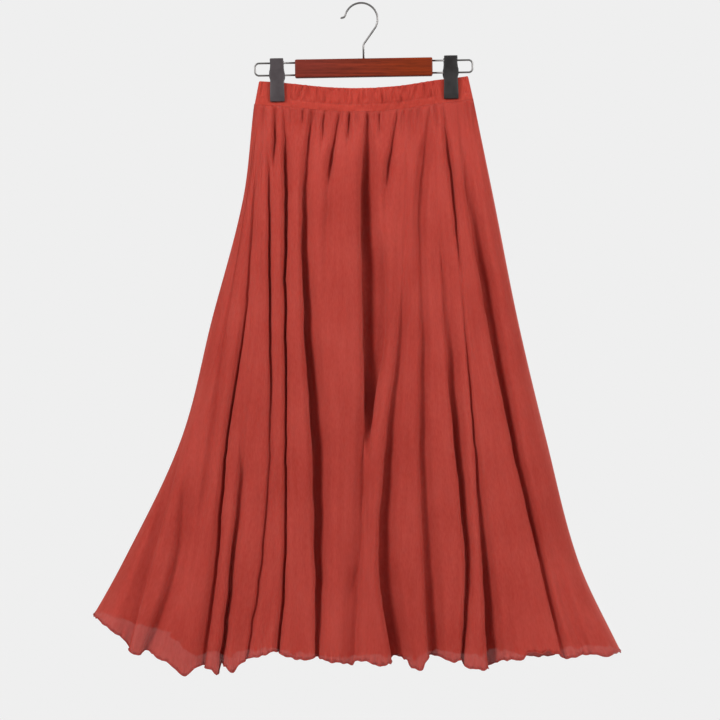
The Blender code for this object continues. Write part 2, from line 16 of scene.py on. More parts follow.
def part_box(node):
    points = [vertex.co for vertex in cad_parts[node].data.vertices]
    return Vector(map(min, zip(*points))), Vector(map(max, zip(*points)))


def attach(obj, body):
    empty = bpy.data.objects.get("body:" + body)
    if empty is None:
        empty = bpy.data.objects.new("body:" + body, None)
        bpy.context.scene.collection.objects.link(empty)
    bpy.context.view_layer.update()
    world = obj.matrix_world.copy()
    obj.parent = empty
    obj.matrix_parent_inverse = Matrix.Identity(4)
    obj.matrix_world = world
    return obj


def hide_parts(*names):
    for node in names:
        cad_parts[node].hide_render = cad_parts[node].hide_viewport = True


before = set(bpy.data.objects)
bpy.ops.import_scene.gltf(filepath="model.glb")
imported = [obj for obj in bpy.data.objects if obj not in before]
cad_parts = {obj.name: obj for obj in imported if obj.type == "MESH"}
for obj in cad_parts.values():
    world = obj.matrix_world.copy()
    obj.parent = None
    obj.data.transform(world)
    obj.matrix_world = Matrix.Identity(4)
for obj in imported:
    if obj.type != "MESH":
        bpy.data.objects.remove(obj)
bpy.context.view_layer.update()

# ---- Waistband -----------------------------------------------------------------------------------------
# A casing of the same crepe, folded over a 25 mm elastic and closed by a row of stitching. The elastic
# ruches it into short uneven puckers, and the hanger's clips pinch it flat at two places.
MM = 0.001
SHUT_GAP = 0.3 * MM               # between the two walls, where a clip presses them together
BAND_WALL = 2.9 * MM
BAND_HEIGHT = 36.5 * MM
BAND_OPENING = 13 * MM            # between the two walls, midway between the clips
BAND_END_GAP = 5 * MM             # the same past the clips
BAND_END_LOBE = 16 * MM           # past a clip, where the band is open again
GRIP_MARGIN = 3 * MM              # flat cloth on each side of a clip
BAND_ENDS_TOP = (-158 * MM, 166 * MM)
BAND_ENDS_LOW = (-165 * MM, 174 * MM)
BAND_TURN = BAND_WALL + BAND_END_GAP / 2        # radius of the turn at both ends
TOP_FOLD = 0.05                   # shares of the band's height from its top: the fold over the elastic,
STITCH_ROW = 0.70                 # the row of stitching,
SEWN_EDGE = 0.88                  # and where the seam with the skirt starts to pull the puckers flat
CASING_SEAM_X = 17 * MM           # where the casing's ends are joined
CASING_SEAM_WIDTH = 1.0 * MM
CASING_SEAM_SINK = 1.3 * MM

# Drop of the band's top edge, which sags between the clips: x and drop in millimetres.
BAND_TOP = (
    (-160, 120.0), (-132, 121.5), (-105, 124.0), (-50, 130.0), (5, 131.5),
    (60, 127.5), (115, 118.5), (137, 116.0), (168, 112.0),
)


def ease(share):
    """From 0 to 1 with a soft start and a soft end."""
    share = np.clip(share, 0.0, 1.0)
    return share * share * (3 - 2 * share)


def smooth_through(stations, values, at):
    """Cubic through the values at the stations, straight on past both ends."""
    stations, values = np.array(stations, float), np.array(values, float)
    slopes = np.empty_like(values)
    slopes[1:-1] = (values[2:] - values[:-2]) / (stations[2:] - stations[:-2])
    slopes[0] = (values[1] - values[0]) / (stations[1] - stations[0])
    slopes[-1] = (values[-1] - values[-2]) / (stations[-1] - stations[-2])
    i = np.clip(np.searchsorted(stations, at, side="right") - 1, 0, len(stations) - 2)
    span = stations[i + 1] - stations[i]
    t = np.clip((at - stations[i]) / span, 0.0, 1.0)
    curve = values[i] * (1 + 2 * t) * (1 - t) ** 2 + values[i + 1] * t * t * (3 - 2 * t)
    curve += span * (slopes[i] * t * (1 - t) ** 2 - slopes[i + 1] * t * t * (1 - t))
    before, past = np.minimum(at - stations[0], 0.0), np.maximum(at - stations[-1], 0.0)
    return curve + slopes[0] * before + slopes[-1] * past


def band_top_drop(x):
    """How far the band's top edge lies below the origin."""
    xs, drops = np.array(BAND_TOP).T * MM
    return smooth_through(xs, drops, x)


# Where the clips pinch the band flat: start and end along X.
grips = []
for jaw in ("left_clip_front_jaw", "right_clip_front_jaw"):
    low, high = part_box(jaw)
    grips.append((low.x - GRIP_MARGIN, high.x + GRIP_MARGIN))


def band_half_gap(x):
    """Half of the space between the band's two walls."""
    shut = SHUT_GAP / 2
    left, right = grips
    share = np.clip((x - left[1]) / (right[0] - left[1]), 0.0, 1.0)
    between = (BAND_OPENING / 2 - shut) * np.sin(math.pi * share) ** 1.5
    past = np.maximum(np.maximum(left[0] - x, x - right[1]), 0.0)
    return shut + between + (BAND_END_GAP / 2 - shut) * ease(past / BAND_END_LOBE)


def band_outer(x, ends):
    """Distance of the band's outer face from the middle plane, rounded off where it turns back."""
    thickness = band_half_gap(x) + BAND_WALL
    to_end = np.clip(np.minimum(x - ends[0], ends[1] - x) / BAND_TURN, 0.0, 1.0)
    return thickness * np.sqrt(1 - (1 - to_end) ** 2)


def noise_field(u, v, seed):
    """Smooth noise from -1 to 1 at every point of two coordinates, of which one may be a single number."""
    u, v = np.broadcast_arrays(u, v)
    values = [noise.noise(Vector((a, b, seed))) for a, b in zip(u.ravel(), v.ravel())]
    return np.array(values).reshape(u.shape)


def new_piece(name, bm):
    """A smooth object of its own with the shape of the bmesh."""
    mesh = bpy.data.meshes.new(name)
    bm.to_mesh(mesh)
    bm.free()
    mesh.shade_smooth()
    piece = bpy.data.objects.new(name, mesh)
    bpy.context.scene.collection.objects.link(piece)
    return piece


def grid_piece(name, points, around=False, along=False):
    """A piece whose surface is a grid bent to rows of points; around joins its last row to the first,
    along its last column to the first. Its UV map is the distance along the grid both ways, in metres."""
    points = np.asarray(points, float)
    if around:
        points = np.concatenate([points, points[:1]])
    if along:
        points = np.concatenate([points, points[:, :1]], axis=1)
    rows, columns = points.shape[:2]
    bm = bmesh.new()
    bm.loops.layers.uv.new("cloth")
    bmesh.ops.create_grid(bm, x_segments=columns - 1, y_segments=rows - 1, size=1.0, calc_uvs=True)
    piece = new_piece(name, bm)
    mesh = piece.data
    flat = np.empty(len(mesh.vertices) * 3)
    mesh.vertices.foreach_get("co", flat)
    flat = flat.reshape(-1, 3)
    column = np.rint((flat[:, 0] + 1) / 2 * (columns - 1)).astype(int)
    row = np.rint((1 - flat[:, 1]) / 2 * (rows - 1)).astype(int)
    mesh.vertices.foreach_set("co", points[row, column].ravel())

    across = np.linalg.norm(np.diff(points, axis=1), axis=2).mean(axis=0)
    down = np.linalg.norm(np.diff(points, axis=0), axis=2).mean(axis=1)
    u = np.concatenate([[0.0], np.cumsum(across)])
    v = -np.concatenate([[0.0], np.cumsum(down)])
    corner = np.empty(len(mesh.loops), int)
    mesh.loops.foreach_get("vertex_index", corner)
    mesh.uv_layers[0].data.foreach_set("uv", np.stack([u[column], v[row]], axis=1)[corner].ravel())
    if around or along:
        bm = bmesh.new()
        bm.from_mesh(mesh)
        bmesh.ops.remove_doubles(bm, verts=bm.verts, dist=1e-7)
        bm.to_mesh(mesh)
        bm.free()
    return piece


def band_stations(ends, shares):
    """Places along one wall of the band for shares from 0 at its left end to 1 at its right one."""
    middle = [np.mean(pair) for pair in zip(BAND_ENDS_TOP, BAND_ENDS_LOW)]
    even, tapered = ([a, a + BAND_TURN, *grips[0], *grips[1], b - BAND_TURN, b] for a, b in (middle, ends))
    return np.interp(shares * (middle[1] - middle[0]) + middle[0], even, tapered)


# The puckers: how far apart they stand along the band, and how far they stand out.
RIDGE_PITCH = 5 * MM
RIDGE_HEIGHT = 4.6 * MM
CREASE_PITCH = 7.5 * MM
CREASE_HEIGHT = 1.5 * MM
FINE_PITCH = 3.2 * MM
FINE_HEIGHT = 1.0 * MM
STRIP_PITCH = 7 * MM              # on the strip below the stitching
STRIP_HEIGHT = 1.9 * MM
WANDER_PITCH = 26 * MM            # over which they lean to and fro
STITCH_SINK = 0.5 * MM
PUCKER_END_FADE = 10 * MM         # over which they die out towards the band's ends
PUCKER_CLIP_FADE = 9 * MM         # and towards a clip


def pucker(run, height):
    """How far the ruched casing stands out: soft uneven ridges, with a few sharper creases."""
    wander = 1.1 * noise_field(run / WANDER_PITCH, height * 0.9, seed=5.0)
    ridges = noise_field(run / RIDGE_PITCH + wander, height * 1.3, seed=3.0)
    creases = np.abs(noise_field(run / CREASE_PITCH + wander, height * 1.1, seed=13.0)) ** 0.5
    fine = noise_field(run / FINE_PITCH, height * 3.5, seed=11.0)
    strip_ridges = noise_field(run / STRIP_PITCH, height * 1.6, seed=7.0)
    # the elastic's part of the height, the strip below the stitching, and the dip along it
    casing = ease(height / 0.08) * ease((STITCH_ROW + 0.04 - height) / 0.14)
    strip = ease((height - STITCH_ROW) / 0.1)
    stitched = np.exp(-((height - STITCH_ROW) / 0.05) ** 2)
    out = (RIDGE_HEIGHT * ridges + CREASE_HEIGHT * (creases - 0.5)) * (0.3 + 0.7 * casing) * (1 - strip)
    return out + FINE_HEIGHT * fine * casing + STRIP_HEIGHT * strip_ridges * strip - STITCH_SINK * stitched


BAND_COLUMNS = 470
END_COLUMNS = 0.033               # share of a wall, at each end, where its columns stand closer
turn_shares = 0.5 * (1 - np.cos(np.linspace(0, math.pi, 15)))[:7] * END_COLUMNS
wall_shares = np.linspace(turn_shares[-1], 1 - turn_shares[-1], BAND_COLUMNS)
wall_shares = np.concatenate([turn_shares[:-1], wall_shares, 1 - turn_shares[-2::-1]])

# The casing's section: up the outer face, over the fold at the top, down the inner face and back.
# Each place is a share of the height, and 0 on the outer face to 1 on the inner one.
outer_face = [(height, 0.0) for height in [1.0, 0.996] + list(np.linspace(0.98, TOP_FOLD, 43))]
top_fold = [(TOP_FOLD * (1 - math.sin(a)), (1 - math.cos(a)) / 2) for a in np.linspace(0, math.pi, 9)[1:-1]]
inner_face = [(height, 1.0) for height in np.linspace(TOP_FOLD, 1.0, 14)]
section = outer_face + top_fold + inner_face + [(1.0, 0.66), (1.0, 0.33)]


def band_ring(height, inwards=0.0):
    """Points round the casing at a share of its height. The puckers are laid out from the middle of each
    wall, so that they stand upright."""
    ends = [top + (low - top) * height for top, low in zip(BAND_ENDS_TOP, BAND_ENDS_LOW)]
    x = band_stations(ends, wall_shares)
    depth = band_outer(x, ends)
    ring_x = np.concatenate([x, x[-2:0:-1]])
    ring_y = np.concatenate([-depth, depth[-2:0:-1]])
    ring = np.stack([ring_x, ring_y], axis=1)
    ahead = np.roll(ring, -1, axis=0) - np.roll(ring, 1, axis=0)
    outwards = np.stack([ahead[:, 1], -ahead[:, 0]], axis=1)
    outwards /= np.linalg.norm(outwards, axis=1, keepdims=True)
    run = np.concatenate([[0.0], np.cumsum(np.linalg.norm(np.diff(ring, axis=0), axis=1))])
    turn = len(x)
    run[:turn] -= np.interp(0.0, ring_x[:turn], run[:turn])
    run[turn:] -= np.interp(0.0, ring_x[:turn - 1:-1], run[:turn - 1:-1]) - 1.0
    free = ease(np.minimum(ring_x - ends[0], ends[1] - ring_x) / PUCKER_END_FADE)
    for start, end in grips:
        free *= ease(np.maximum(start - ring_x, ring_x - end) / PUCKER_CLIP_FADE)
    bulge = pucker(run, height) * free * (1 - inwards)
    seam = np.exp(-((ring_x - CASING_SEAM_X) / CASING_SEAM_WIDTH) ** 2) * (ring_y < 0)
    bulge -= CASING_SEAM_SINK * seam * (1 - inwards)
    bulge *= 1 - ease((height - SEWN_EDGE) / (1 - SEWN_EDGE))
    ring = ring + outwards * (bulge - BAND_WALL * inwards)[:, None]
    drop = band_top_drop(ring_x) + BAND_HEIGHT * height
    drop -= 0.6 * bulge * (height < TOP_FOLD)        # the puckers also lift the fold at the top
    return np.stack([ring[:, 0], ring[:, 1], -drop], axis=1)


rows = [band_ring(height, inwards) for height, inwards in section]
band = grid_piece("ruched_waistband", rows[::-1], around=True, along=True)
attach(band, "root")
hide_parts("waistband")


def linear(colour):
    """An sRGB hex colour as the linear values that a shader takes."""
    channels = [int(colour[i:i + 2], 16) / 255 for i in (1, 3, 5)]
    return [c / 12.92 if c <= 0.04045 else ((c + 0.055) / 1.055) ** 2.4 for c in channels] + [1.0]


def add_node(tree, kind, inputs=(), **settings):
    """A node with its settings, and each of its inputs given a value or joined to another node's socket."""
    made = tree.nodes.new("ShaderNode" + kind)
    for name, value in settings.items():
        setattr(made, name, value)
    for name, value in dict(inputs).items():
        if isinstance(value, bpy.types.NodeSocket):
            tree.links.new(value, made.inputs[name])
        else:
            made.inputs[name].default_value = value
    return made


def new_material(name):
    """An empty material and its tree, with its Principled shader."""
    material = bpy.data.materials.new(name)
    material.use_nodes = True
    return material, material.node_tree, material.node_tree.nodes["Principled BSDF"]


def crepe(name, pale, deep, alpha, crinkle=1.0):
    """Thin cotton crepe, piece-dyed rust red: matt with a soft bloom at grazing angles, a fine pebbled
    surface from its twisted yarns, and faint lengthwise crinkles that catch the light, their shade also
    painted into the colour."""
    material, tree, shader = new_material(name)
    place = add_node(tree, "UVMap", uv_map="cloth").outputs["UV"]
    # crinkles run lengthwise, about 7 mm apart and 70 mm long
    lengthwise = add_node(tree, "Mapping", {"Vector": place, "Scale": (140.0, 14.0, 1.0)}).outputs[0]
    streaks = add_node(tree, "TexNoise", {"Vector": lengthwise, "Scale": 1.0, "Detail": 3.0,
                                          "Roughness": 0.6})
    # slub yarns, about 1.6 mm apart, drawn coarser than the real 0.3 mm thread so that they show
    yarns = add_node(tree, "Mapping", {"Vector": place, "Scale": (600.0, 110.0, 1.0)}).outputs[0]
    slubs = add_node(tree, "TexNoise", {"Vector": yarns, "Scale": 1.0, "Detail": 2.0, "Roughness": 0.55})
    # the pebble of the crepe, about 1.2 mm
    pebble = add_node(tree, "TexNoise", {"Vector": place, "Scale": 800.0, "Detail": 2.0, "Roughness": 0.6})
    # the dye takes unevenly, in clouds about 120 mm across
    clouds = add_node(tree, "TexNoise", {"Vector": place, "Scale": 8.0, "Detail": 2.0, "Roughness": 0.5})
    # the crinkle streaks darken and lighten the colour along with their bump: painted shade and painted
    # highlight; the slubs and the clouds are the dye's own unevenness
    shade = add_node(tree, "Math", {0: streaks.outputs["Fac"], 1: 0.26}, operation="MULTIPLY")
    for pattern, share in ((slubs, 0.34), (clouds, 0.40)):
        shade = add_node(tree, "Math", {0: pattern.outputs["Fac"], 1: share, 2: shade.outputs[0]},
                         operation="MULTIPLY_ADD")
    dye_and_crinkle_shade = add_node(tree, "MapRange", {"Value": shade.outputs[0], "From Min": 0.38, "From Max": 0.72})
    colour = add_node(tree, "Mix", {0: dye_and_crinkle_shade.outputs[0], 6: linear(deep), 7: linear(pale)}, data_type="RGBA")
    rough = add_node(tree, "MapRange", {"Value": pebble.outputs["Fac"], "To Min": 0.80, "To Max": 0.95})
    relief = add_node(tree, "Bump", {"Height": streaks.outputs["Fac"], "Strength": 0.35 * crinkle,
                                     "Distance": 1.6 * MM})
    relief = add_node(tree, "Bump", {"Height": slubs.outputs["Fac"], "Strength": 0.35, "Distance": 0.4 * MM,
                                     "Normal": relief.outputs[0]})
    relief = add_node(tree, "Bump", {"Height": pebble.outputs["Fac"], "Strength": 0.3, "Distance": 0.25 * MM,
                                     "Normal": relief.outputs[0]})
    tree.links.new(colour.outputs[2], shader.inputs["Base Color"])
    tree.links.new(rough.outputs[0], shader.inputs["Roughness"])
    tree.links.new(relief.outputs[0], shader.inputs["Normal"])
    shader.inputs["Specular IOR Level"].default_value = 0.10
    shader.inputs["Sheen Weight"].default_value = 0.05
    shader.inputs["Sheen Roughness"].default_value = 0.5
    shader.inputs["Sheen Tint"].default_value = linear("#f2a08a")
    shader.inputs["Subsurface Weight"].default_value = 0.5
    shader.inputs["Subsurface Radius"].default_value = (3.0, 1.0, 0.7)
    shader.inputs["Subsurface Scale"].default_value = 0.7 * MM
    shader.inputs["Alpha"].default_value = alpha
    return material


casing_crepe = crepe("rust_crepe_casing", "#b9473b", "#a2362b", alpha=1.0, crinkle=0.6)
band.data.materials.append(casing_crepe)

# ---- Waistband stitching -------------------------------------------------------------------------------
# One row of lockstitch closes the casing below the elastic. Its thread is a little deeper than the cloth
# and sinks between the puckers.
STITCH_STEP = 3.0 * MM
STITCH_LENGTH = 2.5 * MM
STITCH_THREAD = 0.5 * MM

row = band_ring(STITCH_ROW)
row = np.concatenate([row, row[:1]])
run = np.concatenate([[0.0], np.cumsum(np.linalg.norm(np.diff(row, axis=0), axis=1))])
bm = bmesh.new()
for start in np.arange(0.0, run[-1] - STITCH_STEP, STITCH_STEP):
    first, last = (Vector([np.interp(at, run, row[:, axis]) for axis in range(3)])
                   for at in (start, start + STITCH_LENGTH))
    along = last - first
    lie = Matrix.Translation((first + last) / 2) @ along.to_track_quat("X", "Z").to_matrix().to_4x4()
    lie = lie @ Matrix.Diagonal((STITCH_LENGTH / 2, STITCH_THREAD / 2, STITCH_THREAD / 2, 1.0))
    bmesh.ops.create_icosphere(bm, subdivisions=2, radius=1.0, matrix=lie)
stitches = new_piece("waistband_stitches", bm)
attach(stitches, "root")

sewing, tree, shader = new_material("rust_sewing_thread")
# spun polyester: matt, with a faint lighter fuzz in specks along each stitch
place = add_node(tree, "TexCoord").outputs["Object"]
fuzz = add_node(tree, "TexNoise", {"Vector": place, "Scale": 1400.0, "Detail": 2.0, "Roughness": 0.6})
colour = add_node(tree, "Mix", {0: fuzz.outputs["Fac"], 6: linear("#8e2a20"), 7: linear("#b8463a")},
                  data_type="RGBA")
tree.links.new(colour.outputs[2], shader.inputs["Base Color"])
shader.inputs["Roughness"].default_value = 0.75
stitches.data.materials.append(sewing)

# ---- Skirt panels --------------------------------------------------------------------------------------
# Front and back are flared sectors of crepe so thin that a single layer lets light through. Each is gathered
# into the band, and the fullness hangs in long uneven folds, some of which lap over their neighbours.
CLOTH_WALL = 0.5 * MM
PANEL_COLUMNS = 570
GAP_COLUMNS = 8                   # of them in each gap between two troughs, before the rest are shared out
LEAST_COLUMNS = 20                # and the fewest that a gap has in all
COLUMN_CROWDING = 0.72            # how much closer the columns stand by a trough, from 0 to 1,
PANEL_ROWS = 80
ROW_CROWDING = 0.5                # and the rows at the waist and the hem
PANEL_FULL_DROP = 75 * MM         # over which the gathered cloth opens out below the seam
SEAM_TUCK = 0.6 * MM              # how far the seam lies up behind the band's edge
SEAM_INSET = 0.05 * MM            # and inside the band's face
INNER_GAP = 0.6 * MM              # the least distance of a panel from the middle plane
PUFF = 2.4 * MM                   # how far the gathers puff out below the band
PUFF_DROP = 13 * MM               # and where they do so most
LOBE_ROUND = 0.025                # height of the rounding between two troughs, as a share of its width
GATHER_START = 7 * MM             # over which a trough or a gather opens below the seam
SEAM_NARROW = 0.45                # width of a trough where it starts at the seam, as a share of its own
SEAM_NARROW_DROP = 80 * MM        # and where it has its own width
TROUGH_ROUND = 1.2 * MM           # rounding of a trough's bottom
TROUGH_SHARPNESS = (1.35, 2.5)    # of a narrow wall and a broad one: 1 is pointed, 2 round, more is flat
NARROW_WALL = 4 * MM
BROAD_WALL = 12 * MM
TROUGH_GROWTH = 70 * MM           # over which a trough deepens where it begins
TROUGH_FADE = 60 * MM             # and over which it fades where it ends
TRACK_WANDER = 1.7 * MM           # how far a trough strays from an even line
CREASE_WANDER = 1.4 * MM          # and a short crease
CREASE_LIMIT = 0.85               # the most that a crease takes of how far the cloth stands out
SLACK = 1.3 * MM                  # how far loose cloth bellies in and out at the waist,
HEM_SLACK = 2.5 * MM              # how much more it does so at the hem,
CRINKLE = 0.6 * MM                # and its fine crinkles
HEM_REACH = 9 * MM                # how far up the stretched edge shows
HEM_FLARE = 1.5 * MM
HEM_WAVE = 2.6 * MM               # its ripples in and out
HEM_WAVE_LENGTH = 12 * MM
HEM_SWAY = 1.1 * MM               # and up and down
HEM_SWAY_LENGTH = 21 * MM

LEVELS = np.array((167, 304, 490, 676, 862, 1001)) * MM      # waist, hip, thigh, knee, calf, hem
PROFILE_LEVELS = np.array((230, 430, 680, 1001)) * MM        # high hip, thigh, knee, hem

# The hanging outline at each level in millimetres, and how far the crests stand out.
LEFT_EDGE = (-167, -183, -231, -279, -367, -445)
RIGHT_EDGE = (178, 206, 243, 287, 336, 401)
FRONT_CREST = (12, 34, 48, 60, 72, 80)
BACK_CREST = (12, 32, 46, 58, 68, 74)

# A trough between two folds: its track at the six levels, the drops between which it shows, and at high hip,
# thigh, knee and hem its depth as a share of the crest, the width of its left and right walls, and how far
# the wall on its left laps over it (the one on its right, where the number is negative). In millimetres.
Fold = namedtuple("Fold", "name track begins ends depth left right lap")
FROM_BAND = 0
TO_HEM = 2000
FRONT_FOLDS = (
    Fold("left_edge", (-164, -180, -222, -272, -318, -354), 700, TO_HEM,
         (.10, .10, .24, .20), (10, 12, 18, 26), (4, 4, 2.4, 2.4), (0, 0, -2, -3)),
    Fold("left_corner", (-161, -176, -208, -257, -283, -333), 715, TO_HEM,
         (.10, .14, .14, .24), (3, 3, 8, 5), (9, 10, 16, 16), (0, 0, 0, 4)),
    Fold("upper_left", (-158, -173, -203, -226, -250, -272), 400, 760,
         (.14, .14, .12, .10), (6, 6, 8, 8), (4, 4, 4, 5), (0, 0, 0, 0)),
    Fold("left_long", (-155, -163, -175, -201, -217, -235), 235, TO_HEM,
         (.18, .22, .32, .20), (3, 6, 4.5, 8), (2, 2, 2, 6), (-1, -3, -4, -5)),
    Fold("left_short", (-150, -156, -168, -180, -197, -212), 670, TO_HEM,
         (.10, .10, .20, .32), (2, 2, 2, 2.2), (4, 5, 9, 6), (0, 0, 1, 3)),
    Fold("under_left_clip", (-146, -141, -139, -139, -151, -173), 205, TO_HEM,
         (.30, .32, .12, .11), (2.2, 2.2, 2.2, 2.2), (2.4, 2.2, 3, 4), (0, 1.5, 1.5, 2)),
    Fold("inside_left_clip", (-120, -116, -114, -112.5, -113, -124), FROM_BAND, TO_HEM,
         (.62, .42, .22, .19), (2, 3, 3.2, 4.2), (6, 2, 2, 2.2), (0, -2, -3, -3)),
    Fold("left_middle", (-76, -89, -87, -76, -70, -68), FROM_BAND, TO_HEM,
         (.50, .56, .62, .28), (3.4, 2.2, 2, 2), (7, 12, 21, 6), (0, 2, 3.5, 2)),
    Fold("left_gather", (-33, -51, -52, -50, -46, -44), FROM_BAND, 240,
         (.60, .20, .10, .10), (6, 8, 8, 8), (2.2, 4, 4, 4), (-1, 0, 0, 0)),
    Fold("centre_low", (-8, -6, -2, 3.5, -3, -12), 590, TO_HEM,
         (.10, .10, .17, .20), (8, 8, 10, 14), (2, 2, 2.2, 5), (0, 0, -2, 0)),
    Fold("centre", (9, 1, 4, 8.5, 6, 0), FROM_BAND, 610,
         (.85, .82, .72, .50), (2.4, 2.4, 3, 4), (13, 21, 12, 10), (1.5, 2, 0, 0)),
    Fold("centre_ridge", (20, 24, 36, 13, 9, 8), 350, 650,
         (.20, .34, .46, .40), (12, 16, 9, 5), (12, 5, 2, 3), (0, -2, -3, 0)),
    Fold("right_gather", (56, 37, 46, 24, 14, 16), FROM_BAND, 240,
         (.52, .20, .10, .10), (2.4, 4, 4, 4), (4.5, 8, 8, 8), (0, 0, 0, 0)),
    Fold("right_middle", (70, 70, 60, 39, 27, 45), 440, TO_HEM,
         (.10, .14, .33, .52), (3.5, 3, 2.4, 2.4), (6, 7, 15, 24), (0, 1, 2, 4)),
    Fold("inside_right_clip", (107, 89, 92, 89, 96, 103), FROM_BAND, TO_HEM,
         (.50, .16, .26, .34), (5, 3, 2.6, 2.6), (10, 9, 13, 19), (0, 1, 1.5, 2)),
    Fold("right_short", (116, 119, 127, 142.5, 159, 155), 350, TO_HEM,
         (.14, .20, .42, .20), (3, 2.2, 2.2, 2.6), (6, 15, 12, 1.8), (0, 1.5, 3, -1)),
    Fold("under_right_clip", (128, 143, 157, 172, 183.5, 190), FROM_BAND, TO_HEM,
         (.62, .04, .17, .46), (5, 2, 2.2, 2.4), (2.4, 2.2, 2.4, 19), (0, 0, 1.5, 4)),
    Fold("right_long", (151, 164, 193, 228, 270, 302), 120, TO_HEM,
         (.30, .60, .40, .17), (4, 2.6, 2.2, 2.4), (15, 17, 10, 9), (.5, 2, 3.5, 4)),
    Fold("right_edge", (165, 188, 224, 262, 293, 340), 800, TO_HEM,
         (.06, .06, .12, .16), (6, 6, 8, 8), (8, 8, 9, 12), (0, 0, 0, 0)),
)
BACK_FOLDS = (
    Fold("back_1", (-157, -170, -205, -246, -318, -366), 720, TO_HEM,
         (.20, .24, .28, .32), (5, 5.5, 6, 7), (3, 3, 3, 4), (0, -1, -2, -4)),
    Fold("back_2", (-142, -152, -176, -212, -262, -304), 240, TO_HEM,
         (.30, .34, .38, .42), (2.4, 2.4, 2.4, 3), (6, 6.5, 7, 9), (2, 2.5, 3, 4)),
    Fold("back_3", (-124, -120, -128, -150, -178, -200), FROM_BAND, TO_HEM,
         (.42, .42, .42, .44), (5, 5.5, 6, 7), (2, 2.2, 2.4, 3), (-2, -2.5, -3, -4)),
    Fold("back_4", (-96, -102, -108, -122, -150, -166), 360, TO_HEM,
         (.36, .38, .40, .42), (2, 2.2, 2.4, 2.6), (5, 5.5, 6, 6), (2, 2.5, 3, 3)),
    Fold("back_5", (-50, -56, -66, -78, -92, -104), 500, TO_HEM,
         (.20, .22, .30, .40), (5, 5.5, 6, 7), (2.6, 2.7, 2.8, 3), (-1, -2, -3, -4)),
    Fold("back_6", (-12, -10, -14, -12, -22, -30), FROM_BAND, 900,
         (.38, .36, .34, .28), (2.2, 2.6, 3, 6), (14, 10.5, 7, 3), (3, 2, 1, -3)),
    Fold("back_7", (30, 34, 40, 46, 44, 42), FROM_BAND, TO_HEM,
         (.40, .41, .42, .44), (5, 6, 7, 8), (2.2, 2.3, 2.4, 2.8), (-3, -3.5, -4, -4)),
    Fold("back_8", (70, 66, 66, 70, 74, 82), 610, TO_HEM,
         (.22, .22, .30, .40), (4, 3.75, 3.5, 3), (6, 6.5, 7, 8), (1, 1.5, 2, 3)),
    Fold("back_9", (100, 108, 126, 150, 170, 186), FROM_BAND, TO_HEM,
         (.42, .42, .42, .42), (2.2, 2.3, 2.4, 3), (5, 5, 5, 6), (2, 2.5, 3, 3)),
    Fold("back_10", (132, 142, 160, 182, 202, 222), 340, TO_HEM,
         (.26, .30, .30, .34), (5, 5.5, 6, 7), (2.6, 2.6, 2.6, 3), (-2, -2.5, -3, -4)),
    Fold("back_11", (156, 176, 204, 242, 290, 338), 640, TO_HEM,
         (.22, .28, .34, .38), (3, 3, 3, 3), (7, 7.5, 8, 9), (1, 2, 3, 4)),
)

# Short gathers, deepest at the seam with the band: x at the seam, x and drop of the lower end, depth and
# width, in millimetres. All of them start behind the band.
GATHER_DROP = 150 * MM
FRONT_GATHERS = (
    (-149, -151, 230, 4.5, 3.4), (-133, -134, 285, 13, 2.8), (-77, -84, 250, 8.25, 2.8),
    (-107, -108, 235, 3.6, 3.4), (-99, -99, 200, 3.9, 2.6), (-90, -91, 200, 9.0, 2.4),
    (-71, -73, 212, 6.3, 2.6), (-64, -64, 190, 4.8, 2.2), (-56, -61, 240, 11.0, 2.9),
    (-45, -46, 190, 4.2, 2.2), (-27, -27, 200, 4.2, 2.4), (-18, -20, 240, 10.5, 3.2),
    (-7, -6, 205, 4.8, 2.6), (20, 21, 200, 5.1, 2.6), (28, 29, 225, 9.0, 2.8), (37, 36, 195, 4.5, 2.2),
    (66, 64, 220, 5.1, 3.2), (79, 74, 260, 5.4, 4.8), (90, 88, 215, 5.1, 3.2), (114, 117, 215, 4.5, 3.0),
    (162, 168, 240, 3.6, 3.8),
)
BACK_GATHERS = (
    (-148, -152, 210, 2.7, 3.2), (-110, -112, 206, 5.7, 2.6), (-100, -101, 190, 3.3, 2.2),
    (-78, -80, 220, 6, 2.6), (-66, -68, 196, 4.2, 2.2), (-56, -60, 330, 7.5, 3.8),
    (-36, -38, 210, 5.7, 2.6), (-26, -26, 192, 3.3, 2.2), (4, 8, 360, 7.8, 4.2), (14, 15, 196, 3.75, 2.2),
    (44, 45, 200, 4.8, 2.4), (54, 57, 300, 7.2, 3.5), (84, 88, 220, 5.7, 2.9), (116, 121, 260, 5.25, 3.2),
    (145, 150, 210, 3.3, 2.9),
)

# Short creases lower down, deepest midway, or ridges where the depth is negative: x and drop of both ends,
# depth and width, in millimetres.
FRONT_CREASES = (
    (-12, 180, -16, 430, -6.0, 10.0), (-48, 235, -54, 440, 6.5, 5.5), (40, 225, 38, 345, 5.5, 4.5),
    (48, 330, 40, 560, -4.0, 6.0), (-66, 815, -32, 890, 2.6, 2.2), (-28, 560, -20, 760, 1.8, 4.0),
    (-28, 700, -16, 960, 5.0, 9.0), (-27, 930, -3, 858, 4.5, 5.0), (-152, 560, -160, 700, 1.6, 3.0),
    (-194, 640, -178, 730, 3.0, 7.0), (246, 690, 272, 900, 2.0, 4.0), (203, 972, 199, 1014, 3.4, 2.4),
    (216, 982, 217, 1012, 3.0, 2.0), (225, 970, 229, 1012, 4.0, 2.4),
)
BACK_CREASES = (
    (-96, 700, -110, 860, 2.0, 3.0), (20, 620, 28, 780, 2.0, 3.4), (196, 720, 214, 880, 2.2, 3.0),
)

